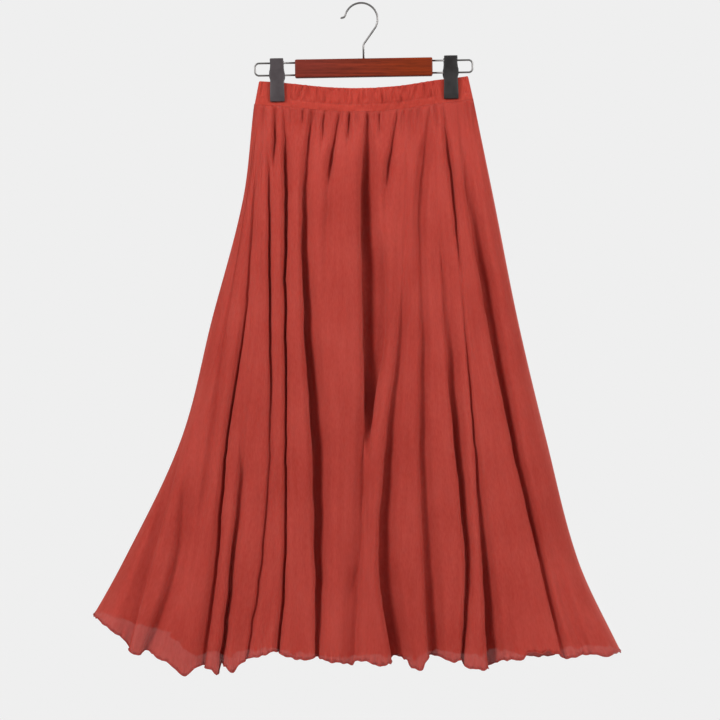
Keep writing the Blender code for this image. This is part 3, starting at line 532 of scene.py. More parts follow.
# Drop of the hem along each panel: x and drop in millimetres, from the left corner to the right one.
FRONT_HEM = (
    (-412, 944), (-398, 947), (-379, 958), (-359, 974), (-339, 996), (-325, 990), (-304, 1000),
    (-285, 1009), (-266, 1026), (-258, 1021), (-248, 1014), (-240, 1012), (-224, 1017), (-217, 1024),
    (-211, 1010), (-192, 1020), (-184, 1010), (-168, 1000), (-149, 996), (-131, 990), (-113, 996),
    (-86, 1002), (-68, 999), (-50, 1004), (-34, 1006), (-22, 1009), (-13, 1012), (-9, 1005), (2, 1003),
    (11, 1005), (20, 1009), (36, 1010), (44, 1007), (50, 1001), (66, 1004), (71, 1005), (74, 1012),
    (79, 1015), (92, 1016), (96, 1006), (101, 1000), (122, 1000), (140, 1006), (149, 1002), (158, 1012),
    (195, 1016), (212, 1004), (230, 1002), (243, 1001), (250, 993), (260, 990), (270, 993), (279, 989),
    (289, 993), (297, 994), (304, 1001), (332, 997), (360, 997), (370, 1001), (389, 998), (401, 1001),
)
BACK_HEM = (
    (-412, 944), (-384, 961), (-354, 969), (-336, 977), (-305, 985), (-292, 997), (-280, 1014),
    (-262, 1022), (-236, 1016), (-214, 1022), (-186, 1014), (-150, 1010), (-122, 1014), (-90, 1018),
    (-40, 1026), (0, 1022), (40, 1020), (84, 1024), (120, 1014), (160, 1020), (196, 1018), (214, 1010),
    (236, 1015), (262, 1023), (290, 1024), (310, 1020), (328, 1008), (346, 1006), (380, 1003),
    (401, 1001),
)


def at_levels(values, drop):
    """Millimetres given at the six levels, as metres at these drops."""
    return smooth_through(LEVELS, np.array(values) * MM, drop)


def at_profile(values, drop):
    """A fold's values at these drops."""
    return np.interp(drop, PROFILE_LEVELS, values)


def panel_columns(folds):
    """Columns of a panel as the gap between two troughs and the share across it, closer by the troughs."""
    tracks = np.array([LEFT_EDGE] + [fold.track for fold in folds] + [RIGHT_EDGE], float)
    widths = np.diff(tracks, axis=0)[:, 1:].mean(axis=1)
    gaps, shares = [], []
    for gap, width in enumerate(widths / widths.sum()):
        shared = round((PANEL_COLUMNS - GAP_COLUMNS * len(widths)) * width)
        count = max(LEAST_COLUMNS, shared + GAP_COLUMNS)
        across = np.arange(count) / count
        gaps += [gap] * count
        shares += list(across - COLUMN_CROWDING * np.sin(2 * math.pi * across) / (2 * math.pi))
    return np.array(gaps + [len(folds)]), np.array(shares + [1.0])


def column_bounds(folds, gaps, drop):
    """Where the troughs run on both sides of each column, at these drops."""
    tracks = [LEFT_EDGE] + [fold.track for fold in folds] + [RIGHT_EDGE]
    places = np.array([at_levels(track, drop) for track in tracks])
    columns = np.arange(len(gaps))
    return places[gaps, ..., columns].T, places[gaps + 1, ..., columns].T


def column_x(folds, gaps, shares, drop):
    """Where each column lies across, at these drops."""
    start, end = column_bounds(folds, gaps, drop)
    return start + (end - start) * shares


def crease_depth(crease, x, drop):
    """How deep a short crease is at each point, or a gather, whose row gives no drop for its upper end."""
    x0, *upper, x1, drop1, depth, width = (MM * value for value in crease)
    drop0 = upper[0] if upper else GATHER_DROP
    share = np.clip((drop - drop0) / (drop1 - drop0), 0.0, 1.0)
    fading = np.sin(math.pi * share) if upper else (1 - share ** 3) ** 1.5
    middle = x0 + (x1 - x0) * share + CREASE_WANDER * noise_field(drop / (17 * MM), 900 * x0, seed=6.0)
    return depth * fading * np.exp(-((x - middle) / (width * (0.8 + 0.6 * share))) ** 2)


def hang(folds, creases, crests, gaps, shares, drop, waist_drop):
    """Where the cloth is across and how far it stands out from the middle plane, with its folds."""
    start, end = column_bounds(folds, gaps, drop)
    x = start + (end - start) * shares
    left, right = at_levels(LEFT_EDGE, drop), at_levels(RIGHT_EDGE, drop)
    aside = np.clip(np.abs(2 * x - left - right) / (right - left), 0.0, 1.0)
    below = np.clip(drop - waist_drop, 0.0, None)
    full = ease(below / PANEL_FULL_DROP)
    crest = at_levels(crests, drop) * np.sqrt(1 - aside ** 12)
    crest = (band_outer(x, BAND_ENDS_LOW) - SEAM_INSET) * (1 - full) + crest * full
    crest += LOBE_ROUND * full * 4 * shares * (1 - shares) * (end - start) * np.sqrt(1 - aside)
    rise = below / PUFF_DROP
    opened = ease(below / GATHER_START)
    crest += PUFF * rise * np.exp(1 - rise) * ease((1 - aside) * 8)
    spread = SEAM_NARROW + (1 - SEAM_NARROW) * ease(below / SEAM_NARROW_DROP)
    shift = np.zeros_like(x)
    for number, fold in enumerate(folds):
        # a trough strays in long bends, and in shorter ones that start right below the seam
        wander = noise_field(drop / (45 * MM), 7.3 * number, seed=2.0) * full
        wander += 0.7 * noise_field(drop / (17 * MM), 7.3 * number, seed=4.0) * opened
        across = x - at_levels(fold.track, drop) - TRACK_WANDER * wander
        width = np.where(across < 0, at_profile(fold.left, drop), at_profile(fold.right, drop)) * MM * spread
        away = np.sqrt(across ** 2 + TROUGH_ROUND ** 2) - TROUGH_ROUND
        begun = ease((drop - fold.begins * MM) / TROUGH_GROWTH)
        ended = ease((drop - fold.ends * MM) / TROUGH_FADE)
        shown = begun * (1 - ended)
        broad = ease((width - NARROW_WALL) / (BROAD_WALL - NARROW_WALL))
        sharp, flat = TROUGH_SHARPNESS
        trough = np.exp(-((away / width) ** (sharp + (flat - sharp) * broad))) * opened
        crest = crest * (1 - at_profile(fold.depth, drop) * shown * trough)
        lap = at_profile(fold.lap, drop) * MM * shown * full
        shoulder = 27 / 4 * trough * (1 - trough) ** 2        # 1 at its highest
        shift += lap * shoulder * np.where(lap > 0, across < 0, across > 0)
    for crease in creases:
        crest = crest - np.minimum(crease_depth(crease, x, drop) * opened, CREASE_LIMIT * crest)
    return x + shift, crest


def panel_points(side, folds, creases, crests, hem, seed):
    """Rows of points down a panel. Side is -1 for the front and 1 for the back."""
    gaps, shares = panel_columns(folds)
    hem_x, hem_drops = np.array(hem).T * MM
    waist_drop = np.full(len(gaps), LEVELS[0])
    hem_drop = np.full(len(gaps), LEVELS[-1])
    # where a column ends depends on its place across, and that on the drop: a few rounds settle both
    for _ in range(6):
        waist_drop = band_top_drop(column_x(folds, gaps, shares, waist_drop)) + BAND_HEIGHT
        hem_drop = smooth_through(hem_x, hem_drops, column_x(folds, gaps, shares, hem_drop))
    down = np.linspace(0.0, 1.0, PANEL_ROWS)
    down = (down - ROW_CROWDING * np.sin(2 * math.pi * down) / (2 * math.pi))[:, None]
    drop = waist_drop - SEAM_TUCK + (hem_drop - waist_drop + SEAM_TUCK) * down
    x, depth = hang(folds, creases, crests, gaps, shares, drop, waist_drop)

    # distance along the cloth at the hem, which the ripples and slacker places follow, except where the
    # cloth lies close to the middle plane and has no room
    steps = np.hypot(np.diff(x[-1]), np.diff(depth[-1]))
    run = np.concatenate([[0.0], np.cumsum(steps)])
    edge = np.clip(depth / (6 * MM), 0.0, 1.0)
    slack = noise_field(run / (30 * MM), drop / (230 * MM), seed=seed)
    crinkle = noise_field(run / (9 * MM), drop / (75 * MM), seed=seed + 5.0)
    full = ease((drop - waist_drop) / PANEL_FULL_DROP)
    depth = depth + edge * full * ((SLACK + HEM_SLACK * down) * slack + CRINKLE * crinkle)

    # the overlocked edge is stretched as it is sewn, so that it ripples, here stronger and there weaker
    ripple = np.exp((drop - hem_drop) / HEM_REACH)
    strength = 0.7 + 1.1 * noise_field(run / (45 * MM), 0.0, seed=seed + 9.0)
    wave = run / HEM_WAVE_LENGTH * 2 * math.pi + 2.4 * noise_field(run / (30 * MM), 0.0, seed=seed + 2.0)
    sway = run / HEM_SWAY_LENGTH * 2 * math.pi + 3.4 * noise_field(run / (34 * MM), 0.0, seed=seed + 4.0)
    depth = depth + edge * ripple * (HEM_FLARE + strength * np.sin(wave) * HEM_WAVE)
    drop = drop + ripple * strength * np.cos(sway) * HEM_SWAY

    # both panels meet at the side seams and keep apart between them
    to_seam = np.clip(np.minimum(x - x[:, :1], x[:, -1:] - x), 0.0, None)
    depth = np.maximum(depth, np.minimum(INNER_GAP, 4 * (to_seam + 1e-5)))
    points = np.stack([x, side * depth, -drop], axis=2)
    return points if side < 0 else points[:, ::-1]


skirt_crepe = crepe("rust_crepe", "#c05046", "#a93c32", alpha=0.82)
panels = {}
for name, side, folds, creases, crests, hem, seed in (
    ("front", -1, FRONT_FOLDS, FRONT_GATHERS + FRONT_CREASES, FRONT_CREST, FRONT_HEM, 20.0),
    ("back", 1, BACK_FOLDS, BACK_GATHERS + BACK_CREASES, BACK_CREST, BACK_HEM, 60.0),
):
    points = panel_points(side, folds, creases, crests, hem, seed)
    panel = grid_piece(name + "_panel", points)
    panel.data.materials.append(skirt_crepe)
    solidify = panel.modifiers.new("wall", "SOLIDIFY")
    solidify.thickness = CLOTH_WALL
    solidify.offset = -1.0          # inwards from the outer face
    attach(panel, "root")
    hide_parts("skirt_" + name)
    panels[name] = (panel, points)

# ---- Hem edge ------------------------------------------------------------------------------------------
# The raw edge of each panel is overlocked with a dense narrow stitch that rolls it into a fine cord. The
# thread is a shade deeper than the cloth and follows every ripple of it.
HEM_RADIUS = 0.95 * MM
HEM_SIDES = 10

thread, tree, shader = new_material("rust_overlock_thread")
# polyester thread, wound round the edge: a painted shine on each turn and painted shade between them,
# besides their bump. The turns are drawn
# 2 mm apart, coarser than the real 1 mm, so that they show
place = add_node(tree, "UVMap", uv_map="cloth").outputs["UV"]
turns = add_node(tree, "TexWave", {"Vector": place, "Scale": 145.0, "Distortion": 1.2, "Detail": 1.0},
                 bands_direction="X")
# dark between the turns and light on them: painted shade and painted highlight
colour = add_node(tree, "Mix", {0: turns.outputs["Fac"], 6: linear("#7d1d14"), 7: linear("#b93526")},
                  data_type="RGBA")
relief = add_node(tree, "Bump", {"Height": turns.outputs["Fac"], "Strength": 0.6, "Distance": 0.3 * MM})
tree.links.new(colour.outputs[2], shader.inputs["Base Color"])
tree.links.new(relief.outputs[0], shader.inputs["Normal"])
shader.inputs["Roughness"].default_value = 0.6

for name, (panel, points) in panels.items():
    edge = points[-1]
    into = points[-2] - points[-1]
    ahead = np.gradient(edge, axis=0)
    ahead /= np.linalg.norm(ahead, axis=1, keepdims=True)
    out = np.cross(into, ahead)
    out /= np.linalg.norm(out, axis=1, keepdims=True)
    up = np.cross(ahead, out)
    centre = edge - out * CLOTH_WALL / 2
    rings = []
    for angle in np.arange(HEM_SIDES) * 2 * math.pi / HEM_SIDES:
        rings.append(centre + HEM_RADIUS * (math.cos(angle) * out + math.sin(angle) * up))
    cord = grid_piece(name + "_hem_edge", rings[::-1], around=True)
    bm = bmesh.new()
    bm.from_mesh(cord.data)
    bmesh.ops.holes_fill(bm, edges=[edge for edge in bm.edges if edge.is_boundary], sides=0)
    bmesh.ops.recalc_face_normals(bm, faces=bm.faces)
    bm.to_mesh(cord.data)
    bm.free()
    cord.data.materials.append(thread)
    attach(cord, "root")
    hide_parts("hem_" + name)

# ---- Bar -----------------------------------------------------------------------------------------------
# A planed strip of hardwood with rounded edges, stained mahogany and dipped in clear lacquer. The hook and
# the frame's wires are pushed into it.
BAR_LENGTH = 213 * MM
BAR_HEIGHT = 28 * MM
BAR_DEPTH = 13 * MM
BAR_ROUND = 2.2 * MM
BAR_PLACE = Vector((2.7 * MM, 0.0, -99.3 * MM))
HANGER_TILT = Matrix.Rotation(math.radians(-0.95), 4, "Y")       # the right side hangs a little higher


def hanger_piece(name, bm, material, node):
    """A piece of the hanger, which is modelled level, tilted as it hangs and in place of its CAD node."""
    bmesh.ops.recalc_face_normals(bm, faces=bm.faces)
    bmesh.ops.transform(bm, matrix=HANGER_TILT, verts=bm.verts)
    piece = new_piece(name, bm)
    piece.data.materials.append(material)
    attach(piece, "root")
    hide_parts(node)
    return piece


wood, tree, shader = new_material("lacquered_mahogany_stain")
# stained wood under a thin lacquer of little gloss: long streaks of grain, short dark pores, redder at the
# left and browner at the right
place = add_node(tree, "TexCoord").outputs["Object"]
along = add_node(tree, "Mapping", {"Vector": place, "Scale": (5.0, 60.0, 260.0)}).outputs[0]
grain = add_node(tree, "TexNoise", {"Vector": along, "Scale": 1.0, "Detail": 5.0, "Roughness": 0.62,
                                    "Distortion": 0.4})
pores = add_node(tree, "Mapping", {"Vector": place, "Scale": (45.0, 400.0, 1300.0)}).outputs[0]
flecks = add_node(tree, "TexNoise", {"Vector": pores, "Scale": 1.0, "Detail": 2.0, "Roughness": 0.5})
side = add_node(tree, "SeparateXYZ", {"Vector": place})
warmth = add_node(tree, "MapRange", {"Value": side.outputs["X"], "From Min": -0.07, "From Max": 0.08})
stain = add_node(tree, "Mix", {0: warmth.outputs[0], 6: linear("#74291d"), 7: linear("#7c2905")},
                 data_type="RGBA")
light = add_node(tree, "MapRange", {"Value": grain.outputs["Fac"], "From Min": 0.3, "From Max": 0.7,
                                    "To Min": 0.62, "To Max": 1.2})
fleck = add_node(tree, "MapRange", {"Value": flecks.outputs["Fac"], "From Min": 0.38, "From Max": 0.5,
                                    "To Min": 0.72, "To Max": 1.0})
light = add_node(tree, "Math", {0: light.outputs[0], 1: fleck.outputs[0]}, operation="MULTIPLY")
colour = add_node(tree, "VectorMath", {0: stain.outputs[2], 1: light.outputs[0]}, operation="MULTIPLY")
relief = add_node(tree, "Bump", {"Height": fleck.outputs[0], "Strength": 0.15, "Distance": 0.1 * MM})
tree.links.new(colour.outputs[0], shader.inputs["Base Color"])
tree.links.new(relief.outputs[0], shader.inputs["Normal"])
shader.inputs["Roughness"].default_value = 0.5
shader.inputs["Specular IOR Level"].default_value = 0.12
shader.inputs["Coat Weight"].default_value = 0.08
shader.inputs["Coat Roughness"].default_value = 0.2

bm = bmesh.new()
bmesh.ops.create_cube(bm, size=1.0)
bmesh.ops.scale(bm, vec=(BAR_LENGTH, BAR_DEPTH, BAR_HEIGHT), verts=bm.verts)
bmesh.ops.bevel(bm, geom=bm.edges[:], offset=BAR_ROUND, segments=6, profile=0.5, affect="EDGES",
                material=-1)
bmesh.ops.translate(bm, vec=BAR_PLACE, verts=bm.verts)
bar = hanger_piece("mahogany_bar", bm, wood, "bar")

# ---- Hook and frame wires ------------------------------------------------------------------------------
# Hard steel wire, cut, bent cold and nickel plated: a plain hook with its tip turned up and ground, and a
# U-shaped loop at each end of the bar, on which the clips slide.
HOOK_WIRE = 3 * MM
HOOK_RADIUS = 25.4 * MM
HOOK_SLANT = math.radians(36)
HOOK_SLANT_LENGTH = 27 * MM
HOOK_BEND = 10 * MM
HOOK_BOW = math.radians(201)      # how far the wire goes round
TIP_BEND = 5 * MM
TIP_TURN = math.radians(63)       # back out again
TIP_LENGTH = 2.5 * MM
TIP_END = 1.4 * MM                # over which it is ground narrower,
TIP_GROUND = 0.6                  # to this share of its thickness
FRAME_WIRE = 2.8 * MM
FRAME_LENGTH = 337 * MM
FRAME_SPREAD = 19 * MM
FRAME_CORNER = 6 * MM
SEATED = 4 * MM                   # how far a wire goes into the bar
WIRE_SIDES = 20
BEND_STEP = math.radians(5)


def edges_between(bm, verts):
    """The edges that join these vertices to each other."""
    ends = set(verts)
    return [edge for edge in bm.edges if ends.issuperset(edge.verts)]


def bent_wire(bm, thickness, start, heading, moves):
    """Sweeps a round wire in the XZ plane along straight runs, as (length,), and bends, as (radius, angle
    to the left). Returns the vertices of its far end."""
    place = Vector((start[0], 0.0, start[1]))
    ahead = Vector((math.cos(heading), 0.0, math.sin(heading)))
    section = Matrix.Translation(place) @ ahead.to_track_quat("Z", "Y").to_matrix().to_4x4()
    made = bmesh.ops.create_circle(bm, cap_ends=True, radius=thickness / 2, segments=WIRE_SIDES,
                                   matrix=section)
    verts = made["verts"]
    for move in moves:
        edges = edges_between(bm, verts)
        if len(move) == 1:
            made = bmesh.ops.extrude_edge_only(bm, edges=edges)
            verts = [part for part in made["geom"] if isinstance(part, bmesh.types.BMVert)]
            bmesh.ops.translate(bm, vec=ahead * move[0], verts=verts)
            place += ahead * move[0]
            continue
        radius, angle = move
        side = Vector((-ahead.z, 0.0, ahead.x)) * math.copysign(radius, angle)
        centre = place + side
        steps = math.ceil(abs(angle) / BEND_STEP)
        made = bmesh.ops.spin(bm, geom=verts + edges, cent=centre, axis=(0.0, -1.0, 0.0),
                              dvec=(0.0, 0.0, 0.0), angle=angle, steps=steps, use_duplicate=False)
        verts = [part for part in made["geom_last"] if isinstance(part, bmesh.types.BMVert)]
        turn = Matrix.Rotation(-angle, 3, "Y")
        place = centre - turn @ side
        ahead = turn @ ahead
    bmesh.ops.contextual_create(bm, geom=verts)
    return verts


steel, tree, shader = new_material("nickel_plated_wire")
# plating over drawn wire, gone a little dull: a soft sheen, uneven where hands and rails have rubbed it. Its
# colour is painted darker than bright nickel: painted shade standing in for the dark room it mirrors
place = add_node(tree, "TexCoord").outputs["Object"]
rubbed = add_node(tree, "TexNoise", {"Vector": place, "Scale": 70.0, "Detail": 4.0, "Roughness": 0.6})
rough = add_node(tree, "MapRange", {"Value": rubbed.outputs["Fac"], "From Min": 0.35, "From Max": 0.7,
                                    "To Min": 0.32, "To Max": 0.5})
# both colours are darker than bright nickel: painted shade in place of dark reflections
colour = add_node(tree, "Mix", {0: rubbed.outputs["Fac"], 6: linear("#666464"), 7: linear("#969391")},
                  data_type="RGBA")
tree.links.new(rough.outputs[0], shader.inputs["Roughness"])
tree.links.new(colour.outputs[2], shader.inputs["Base Color"])
shader.inputs["Metallic"].default_value = 1.0

bow_height = HOOK_BEND * math.sin(HOOK_SLANT) + HOOK_SLANT_LENGTH * math.cos(HOOK_SLANT)
bow_height += HOOK_RADIUS * (1 + math.sin(HOOK_SLANT))
shank_start = BAR_PLACE.z + BAR_HEIGHT / 2 - SEATED
shank = HOOK_WIRE / 2 - bow_height - shank_start
bm = bmesh.new()
tip = bent_wire(bm, HOOK_WIRE, (BAR_PLACE.x, shank_start), math.pi / 2, (
    (shank,), (HOOK_BEND, -HOOK_SLANT), (HOOK_SLANT_LENGTH,), (HOOK_RADIUS, HOOK_BOW),
    (TIP_BEND, -TIP_TURN), (TIP_LENGTH,), (TIP_END,)))
middle = sum((vert.co for vert in tip), Vector()) / len(tip)
bmesh.ops.scale(bm, vec=[TIP_GROUND] * 3, space=Matrix.Translation(-middle), verts=tip)
hook = hanger_piece("hanger_hook", bm, steel, "hook")

straight = (FRAME_LENGTH - BAR_LENGTH) / 2 + SEATED - FRAME_CORNER
for hand, turned in (("left", -1), ("right", 1)):
    bm = bmesh.new()
    bent_wire(bm, FRAME_WIRE, (BAR_LENGTH / 2 - SEATED, FRAME_SPREAD / 2), 0.0, (
        (straight,), (FRAME_CORNER, -math.pi / 2), (FRAME_SPREAD - 2 * FRAME_CORNER,),
        (FRAME_CORNER, -math.pi / 2), (straight,)))
    bmesh.ops.scale(bm, vec=(turned, 1.0, 1.0), verts=bm.verts)
    bmesh.ops.translate(bm, vec=BAR_PLACE, verts=bm.verts)
    loop = hanger_piece("frame_loop_" + hand, bm, steel, "frame_" + hand)

# ---- Clips ---------------------------------------------------------------------------------------------
# Two moulded plastic jaws that turn on the lower wire, with cheeks round it, and a torsion spring between
# them that presses the lips onto the band.
CLIP_SPREAD = 269 * MM
PIVOT_DROP = FRAME_SPREAD / 2
CHEEK_RADIUS = 4.4 * MM
CHEEK_WALL = 1.6 * MM
CHEEK_SPREAD = {-1: 9.6 * MM, 1: 7.7 * MM}      # the back jaw's cheeks lie inside the front jaw's
WEB_MIDDLE = 4.2 * MM             # the web that joins a cheek to its jaw: from the wire to its middle
WEB_DEPTH = 7.6 * MM
JAW_CROWN = 0.5 * MM
JAW_CORNER = 0.8 * MM
JAW_ROWS = 90

# Height above the pivot, width, and the distance of the outer and inner face from the middle plane.
JAW = np.array((
    (24.6, 21.0, 12.6, 10.4), (14.0, 20.4, 11.2, 9.0), (8.0, 21.6, 10.4, 8.1), (4.5, 23.6, 9.8, 7.4),
    (-1.5, 24.4, 9.2, 6.8), (-4.5, 23.4, 9.0, 6.7), (-8.0, 21.2, 8.8, 6.5), (-30.0, 22.6, 7.8, 5.6),
    (-33.5, 22.8, 7.6, 3.45), (-41.4, 22.6, 6.4, 3.45),
)) * MM


def jaw_points(side):
    """Rings of points down a jaw, each a rounded bar with a slightly crowned outer face."""
    top, low = JAW[0, 0], JAW[-1, 0]
    heights = np.linspace(top, low, JAW_ROWS)
    profile = [np.interp(-heights, -JAW[:, 0], JAW[:, column]) for column in (1, 2, 3)]
    corner = np.linspace(0, math.pi / 2, 5)
    rings = []
    for height, width, outer, inner in zip(heights, *profile):
        to_end = min(top - height, height - low)
        rounding = JAW_CORNER - math.sqrt(max(JAW_CORNER ** 2 - max(JAW_CORNER - to_end, 0.0) ** 2, 0.0))
        half, thick = width / 2 - rounding, (outer - inner) / 2 - rounding
        radius = min(JAW_CORNER, half, thick)
        across, out = [], []
        for quarter in range(4):
            turn = corner + quarter * math.pi / 2
            sign_x = 1 if quarter in (0, 3) else -1
            sign_y = 1 if quarter in (0, 1) else -1
            across += list(sign_x * (half - radius) + radius * np.cos(turn))
            out += list(sign_y * (thick - radius) + radius * np.sin(turn))
            if quarter == 0:
                face = np.linspace(half - radius, radius - half, 9)[1:-1]
                across += list(face)
                out += [thick] * len(face)
        across, out = np.array(across), np.array(out)
        out = out + JAW_CROWN * (1 - (across / half) ** 2) * (out > 0)
        middle = (outer + inner) / 2
        rings.append(np.stack([across, side * (middle + out), np.full(len(across), height)], axis=1))
    return rings


plastic, tree, shader = new_material("satin_black_plastic")
# moulded black plastic: a satin face with a very fine spark-eroded grain, rubbed smoother in patches. The
# left clip is painted a lighter grey: painted light, as from a lamp on the left.
place = add_node(tree, "TexCoord").outputs["Object"]
grain = add_node(tree, "TexNoise", {"Vector": place, "Scale": 2500.0, "Detail": 2.0, "Roughness": 0.6})
worn = add_node(tree, "TexNoise", {"Vector": place, "Scale": 60.0, "Detail": 3.0, "Roughness": 0.6})
rough = add_node(tree, "MapRange", {"Value": worn.outputs["Fac"], "From Min": 0.3, "From Max": 0.7,
                                    "To Min": 0.34, "To Max": 0.55})
side = add_node(tree, "SeparateXYZ", {"Vector": place})
# painted light: black on the right, a lit grey copy of it on the left
painted_lit_share = add_node(tree, "MapRange", {"Value": side.outputs["X"], "From Min": 0.1, "From Max": -0.1})
black = add_node(tree, "Mix", {0: worn.outputs["Fac"], 6: linear("#0f0c0c"), 7: linear("#1b1717")},
                 data_type="RGBA")
painted_lit_grey = add_node(tree, "Mix", {0: worn.outputs["Fac"], 6: linear("#342d2f"), 7: linear("#463e41")},
                data_type="RGBA")
colour = add_node(tree, "Mix", {0: painted_lit_share.outputs[0], 6: black.outputs[2], 7: painted_lit_grey.outputs[2]},
                  data_type="RGBA")
relief = add_node(tree, "Bump", {"Height": grain.outputs["Fac"], "Strength": 0.25, "Distance": 0.05 * MM})
tree.links.new(rough.outputs[0], shader.inputs["Roughness"])
tree.links.new(colour.outputs[2], shader.inputs["Base Color"])
tree.links.new(relief.outputs[0], shader.inputs["Normal"])

spring_steel, tree, shader = new_material("spring_wire")
# drawn spring wire, duller than the plated wires, with fine lines along each turn
place = add_node(tree, "TexCoord").outputs["Object"]
lines = add_node(tree, "TexNoise", {"Vector": place, "Scale": 900.0, "Detail": 3.0, "Roughness": 0.7})
rough = add_node(tree, "MapRange", {"Value": lines.outputs["Fac"], "To Min": 0.3, "To Max": 0.5})
tree.links.new(rough.outputs[0], shader.inputs["Roughness"])
shader.inputs["Base Color"].default_value = linear("#8f8c8a")
shader.inputs["Metallic"].default_value = 1.0

SPRING_WIRE = 0.9 * MM
SPRING_RADIUS = 2.9 * MM
SPRING_TURNS = 4.5
SPRING_LENGTH = 8 * MM
SPRING_ARM = 15 * MM
SPRING_LEVER = 8.25 * MM          # how far the arms reach towards the levers
SPRING_SIDES = 10
SPRING_STEPS = 24                 # to a turn


def coil_spring(bm):
    """A coil round the wire, with an arm up to each lever."""
    start = Vector((-SPRING_LENGTH / 2, -SPRING_RADIUS, 0.0))
    section = Matrix.Translation(start)
    made = bmesh.ops.create_circle(bm, cap_ends=False, radius=SPRING_WIRE / 2, segments=SPRING_SIDES,
                                   matrix=section)
    first = made["verts"]
    steps = round(SPRING_TURNS * SPRING_STEPS)
    made = bmesh.ops.spin(bm, geom=first + edges_between(bm, first), cent=(0.0, 0.0, 0.0),
                          axis=(1.0, 0.0, 0.0), dvec=(SPRING_LENGTH / steps, 0.0, 0.0),
                          angle=2 * math.pi * SPRING_TURNS, steps=steps, use_duplicate=False)
    last = [part for part in made["geom_last"] if isinstance(part, bmesh.types.BMVert)]
    for side, ring in ((-1, first), (1, last)):
        made = bmesh.ops.extrude_edge_only(bm, edges=edges_between(bm, ring))
        arm = [part for part in made["geom"] if isinstance(part, bmesh.types.BMVert)]
        bmesh.ops.translate(bm, vec=(0.0, side * (SPRING_LEVER - SPRING_RADIUS), SPRING_ARM), verts=arm)
        bmesh.ops.contextual_create(bm, geom=arm)


for hand, turned in (("left", -1), ("right", 1)):
    pivot = BAR_PLACE + Vector((turned * CLIP_SPREAD / 2, 0.0, -PIVOT_DROP))
    for face, side in (("front", -1), ("back", 1)):
        jaw = grid_piece("jaw", jaw_points(side), along=True)
        bm = bmesh.new()
        bm.from_mesh(jaw.data)
        bpy.data.objects.remove(jaw)
        bmesh.ops.holes_fill(bm, edges=[edge for edge in bm.edges if edge.is_boundary], sides=0)
        for cheek in (-1, 1):
            x = cheek * CHEEK_SPREAD[side]
            turn = Matrix.Translation((x, 0.0, 0.0)) @ Matrix.Rotation(math.pi / 2, 4, "Y")
            bmesh.ops.create_cone(bm, cap_ends=True, segments=32, radius1=CHEEK_RADIUS, radius2=CHEEK_RADIUS,
                                  depth=CHEEK_WALL, matrix=turn)
            web = Matrix.Translation((x, side * WEB_MIDDLE, 0.0))
            web = web @ Matrix.Diagonal((CHEEK_WALL, WEB_DEPTH, 2 * CHEEK_RADIUS, 1.0))
            bmesh.ops.create_cube(bm, size=1.0, matrix=web)
        bmesh.ops.translate(bm, vec=pivot, verts=bm.verts)
        node = f"{hand}_clip_{face}_jaw"
        jaw = hanger_piece(node + "_moulding", bm, plastic, node)
    bm = bmesh.new()
    coil_spring(bm)
    bmesh.ops.translate(bm, vec=pivot, verts=bm.verts)
    spring = hanger_piece(hand + "_clip_coil", bm, spring_steel, hand + "_clip_spring")

# ---- Camera, light and floor ---------------------------------------------------------------------------
# A plain studio. The camera stands straight in front, level with the middle of the skirt, far enough off to
# keep its sides true. Two large softboxes light the front and one behind shines through the thin cloth.
CAMERA_DISTANCE = 2.6
VIEW_WIDTH = 1.116                # what the camera sees across, in the plane of the hanger
SENSOR = 36.0

scene = bpy.context.scene
camera = bpy.data.objects.new("camera", bpy.data.cameras.new("camera"))
scene.collection.objects.link(camera)
camera.location = (-1.5 * MM, -CAMERA_DISTANCE, -0.552)
camera.rotation_euler = (math.pi / 2, 0.0, 0.0)
camera.data.sensor_width = SENSOR
camera.data.lens = SENSOR * CAMERA_DISTANCE / VIEW_WIDTH
scene.camera = camera

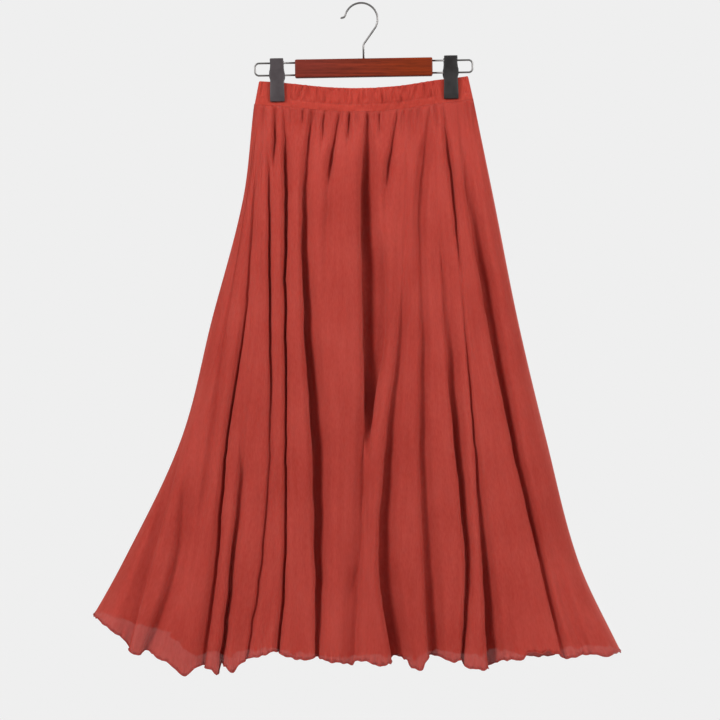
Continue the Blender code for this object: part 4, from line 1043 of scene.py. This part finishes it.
# The backdrop is an even pale grey, and as a light the room is half as bright as that, so that the softboxes
# shape the folds.
world = bpy.data.worlds.new("studio")
scene.world = world
world.use_nodes = True
tree = world.node_tree
seen = add_node(tree, "LightPath").outputs["Is Camera Ray"]
brightness = add_node(tree, "MapRange", {"Value": seen, "To Min": 0.42, "To Max": 1.0})
backdrop = tree.nodes["Background"]
backdrop.inputs["Color"].default_value = linear("#efefef")
tree.links.new(brightness.outputs[0], backdrop.inputs["Strength"])
scene.view_settings.view_transform = "Standard"


def softbox(name, place, aim, size, power):
    """A large soft lamp that faces its aim."""
    light = bpy.data.lights.new(name, "AREA")
    light.size = size
    light.energy = power
    lamp = bpy.data.objects.new(name, light)
    scene.collection.objects.link(lamp)
    lamp.location = place
    lamp.rotation_euler = (Vector(aim) - Vector(place)).to_track_quat("-Z", "Y").to_euler()


softbox("left", (-2.1, -2.0, 1.0), (0.0, 0.0, 0.6), 1.1, 80.0)
softbox("right", (2.1, -2.0, 0.8), (0.0, 0.0, 0.6), 1.1, 62.0)
softbox("back", (1.4, 2.4, 0.4), (0.0, 0.0, -0.55), 1.8, 54.0)

# A round pale board far below the hem, matt, with a faint mottle. It fades out at its rim.
FLOOR_HEIGHT = -1.9
FLOOR_RADIUS = 2.3
board, tree, shader = new_material("pale_matt_board")
place = add_node(tree, "TexCoord").outputs["Object"]
mottle = add_node(tree, "TexNoise", {"Vector": place, "Scale": 9.0, "Detail": 5.0, "Roughness": 0.6})
colour = add_node(tree, "Mix", {0: mottle.outputs["Fac"], 6: linear("#d6d5d3"), 7: linear("#e2e1df")},
                  data_type="RGBA")
away = add_node(tree, "VectorMath", {0: place, 1: (0.0, 0.0, FLOOR_HEIGHT)}, operation="DISTANCE")
fade = add_node(tree, "MapRange", {"Value": away.outputs["Value"], "From Min": 1.2, "From Max": 2.2,
                                   "To Min": 1.0, "To Max": 0.0})
tree.links.new(colour.outputs[2], shader.inputs["Base Color"])
tree.links.new(fade.outputs[0], shader.inputs["Alpha"])
shader.inputs["Roughness"].default_value = 0.9

bm = bmesh.new()
level = Matrix.Translation((0.0, 0.0, FLOOR_HEIGHT))
bmesh.ops.create_circle(bm, cap_ends=True, radius=FLOOR_RADIUS, segments=96, matrix=level)
floor = new_piece("studio_floor", bm)
floor.data.materials.append(board)
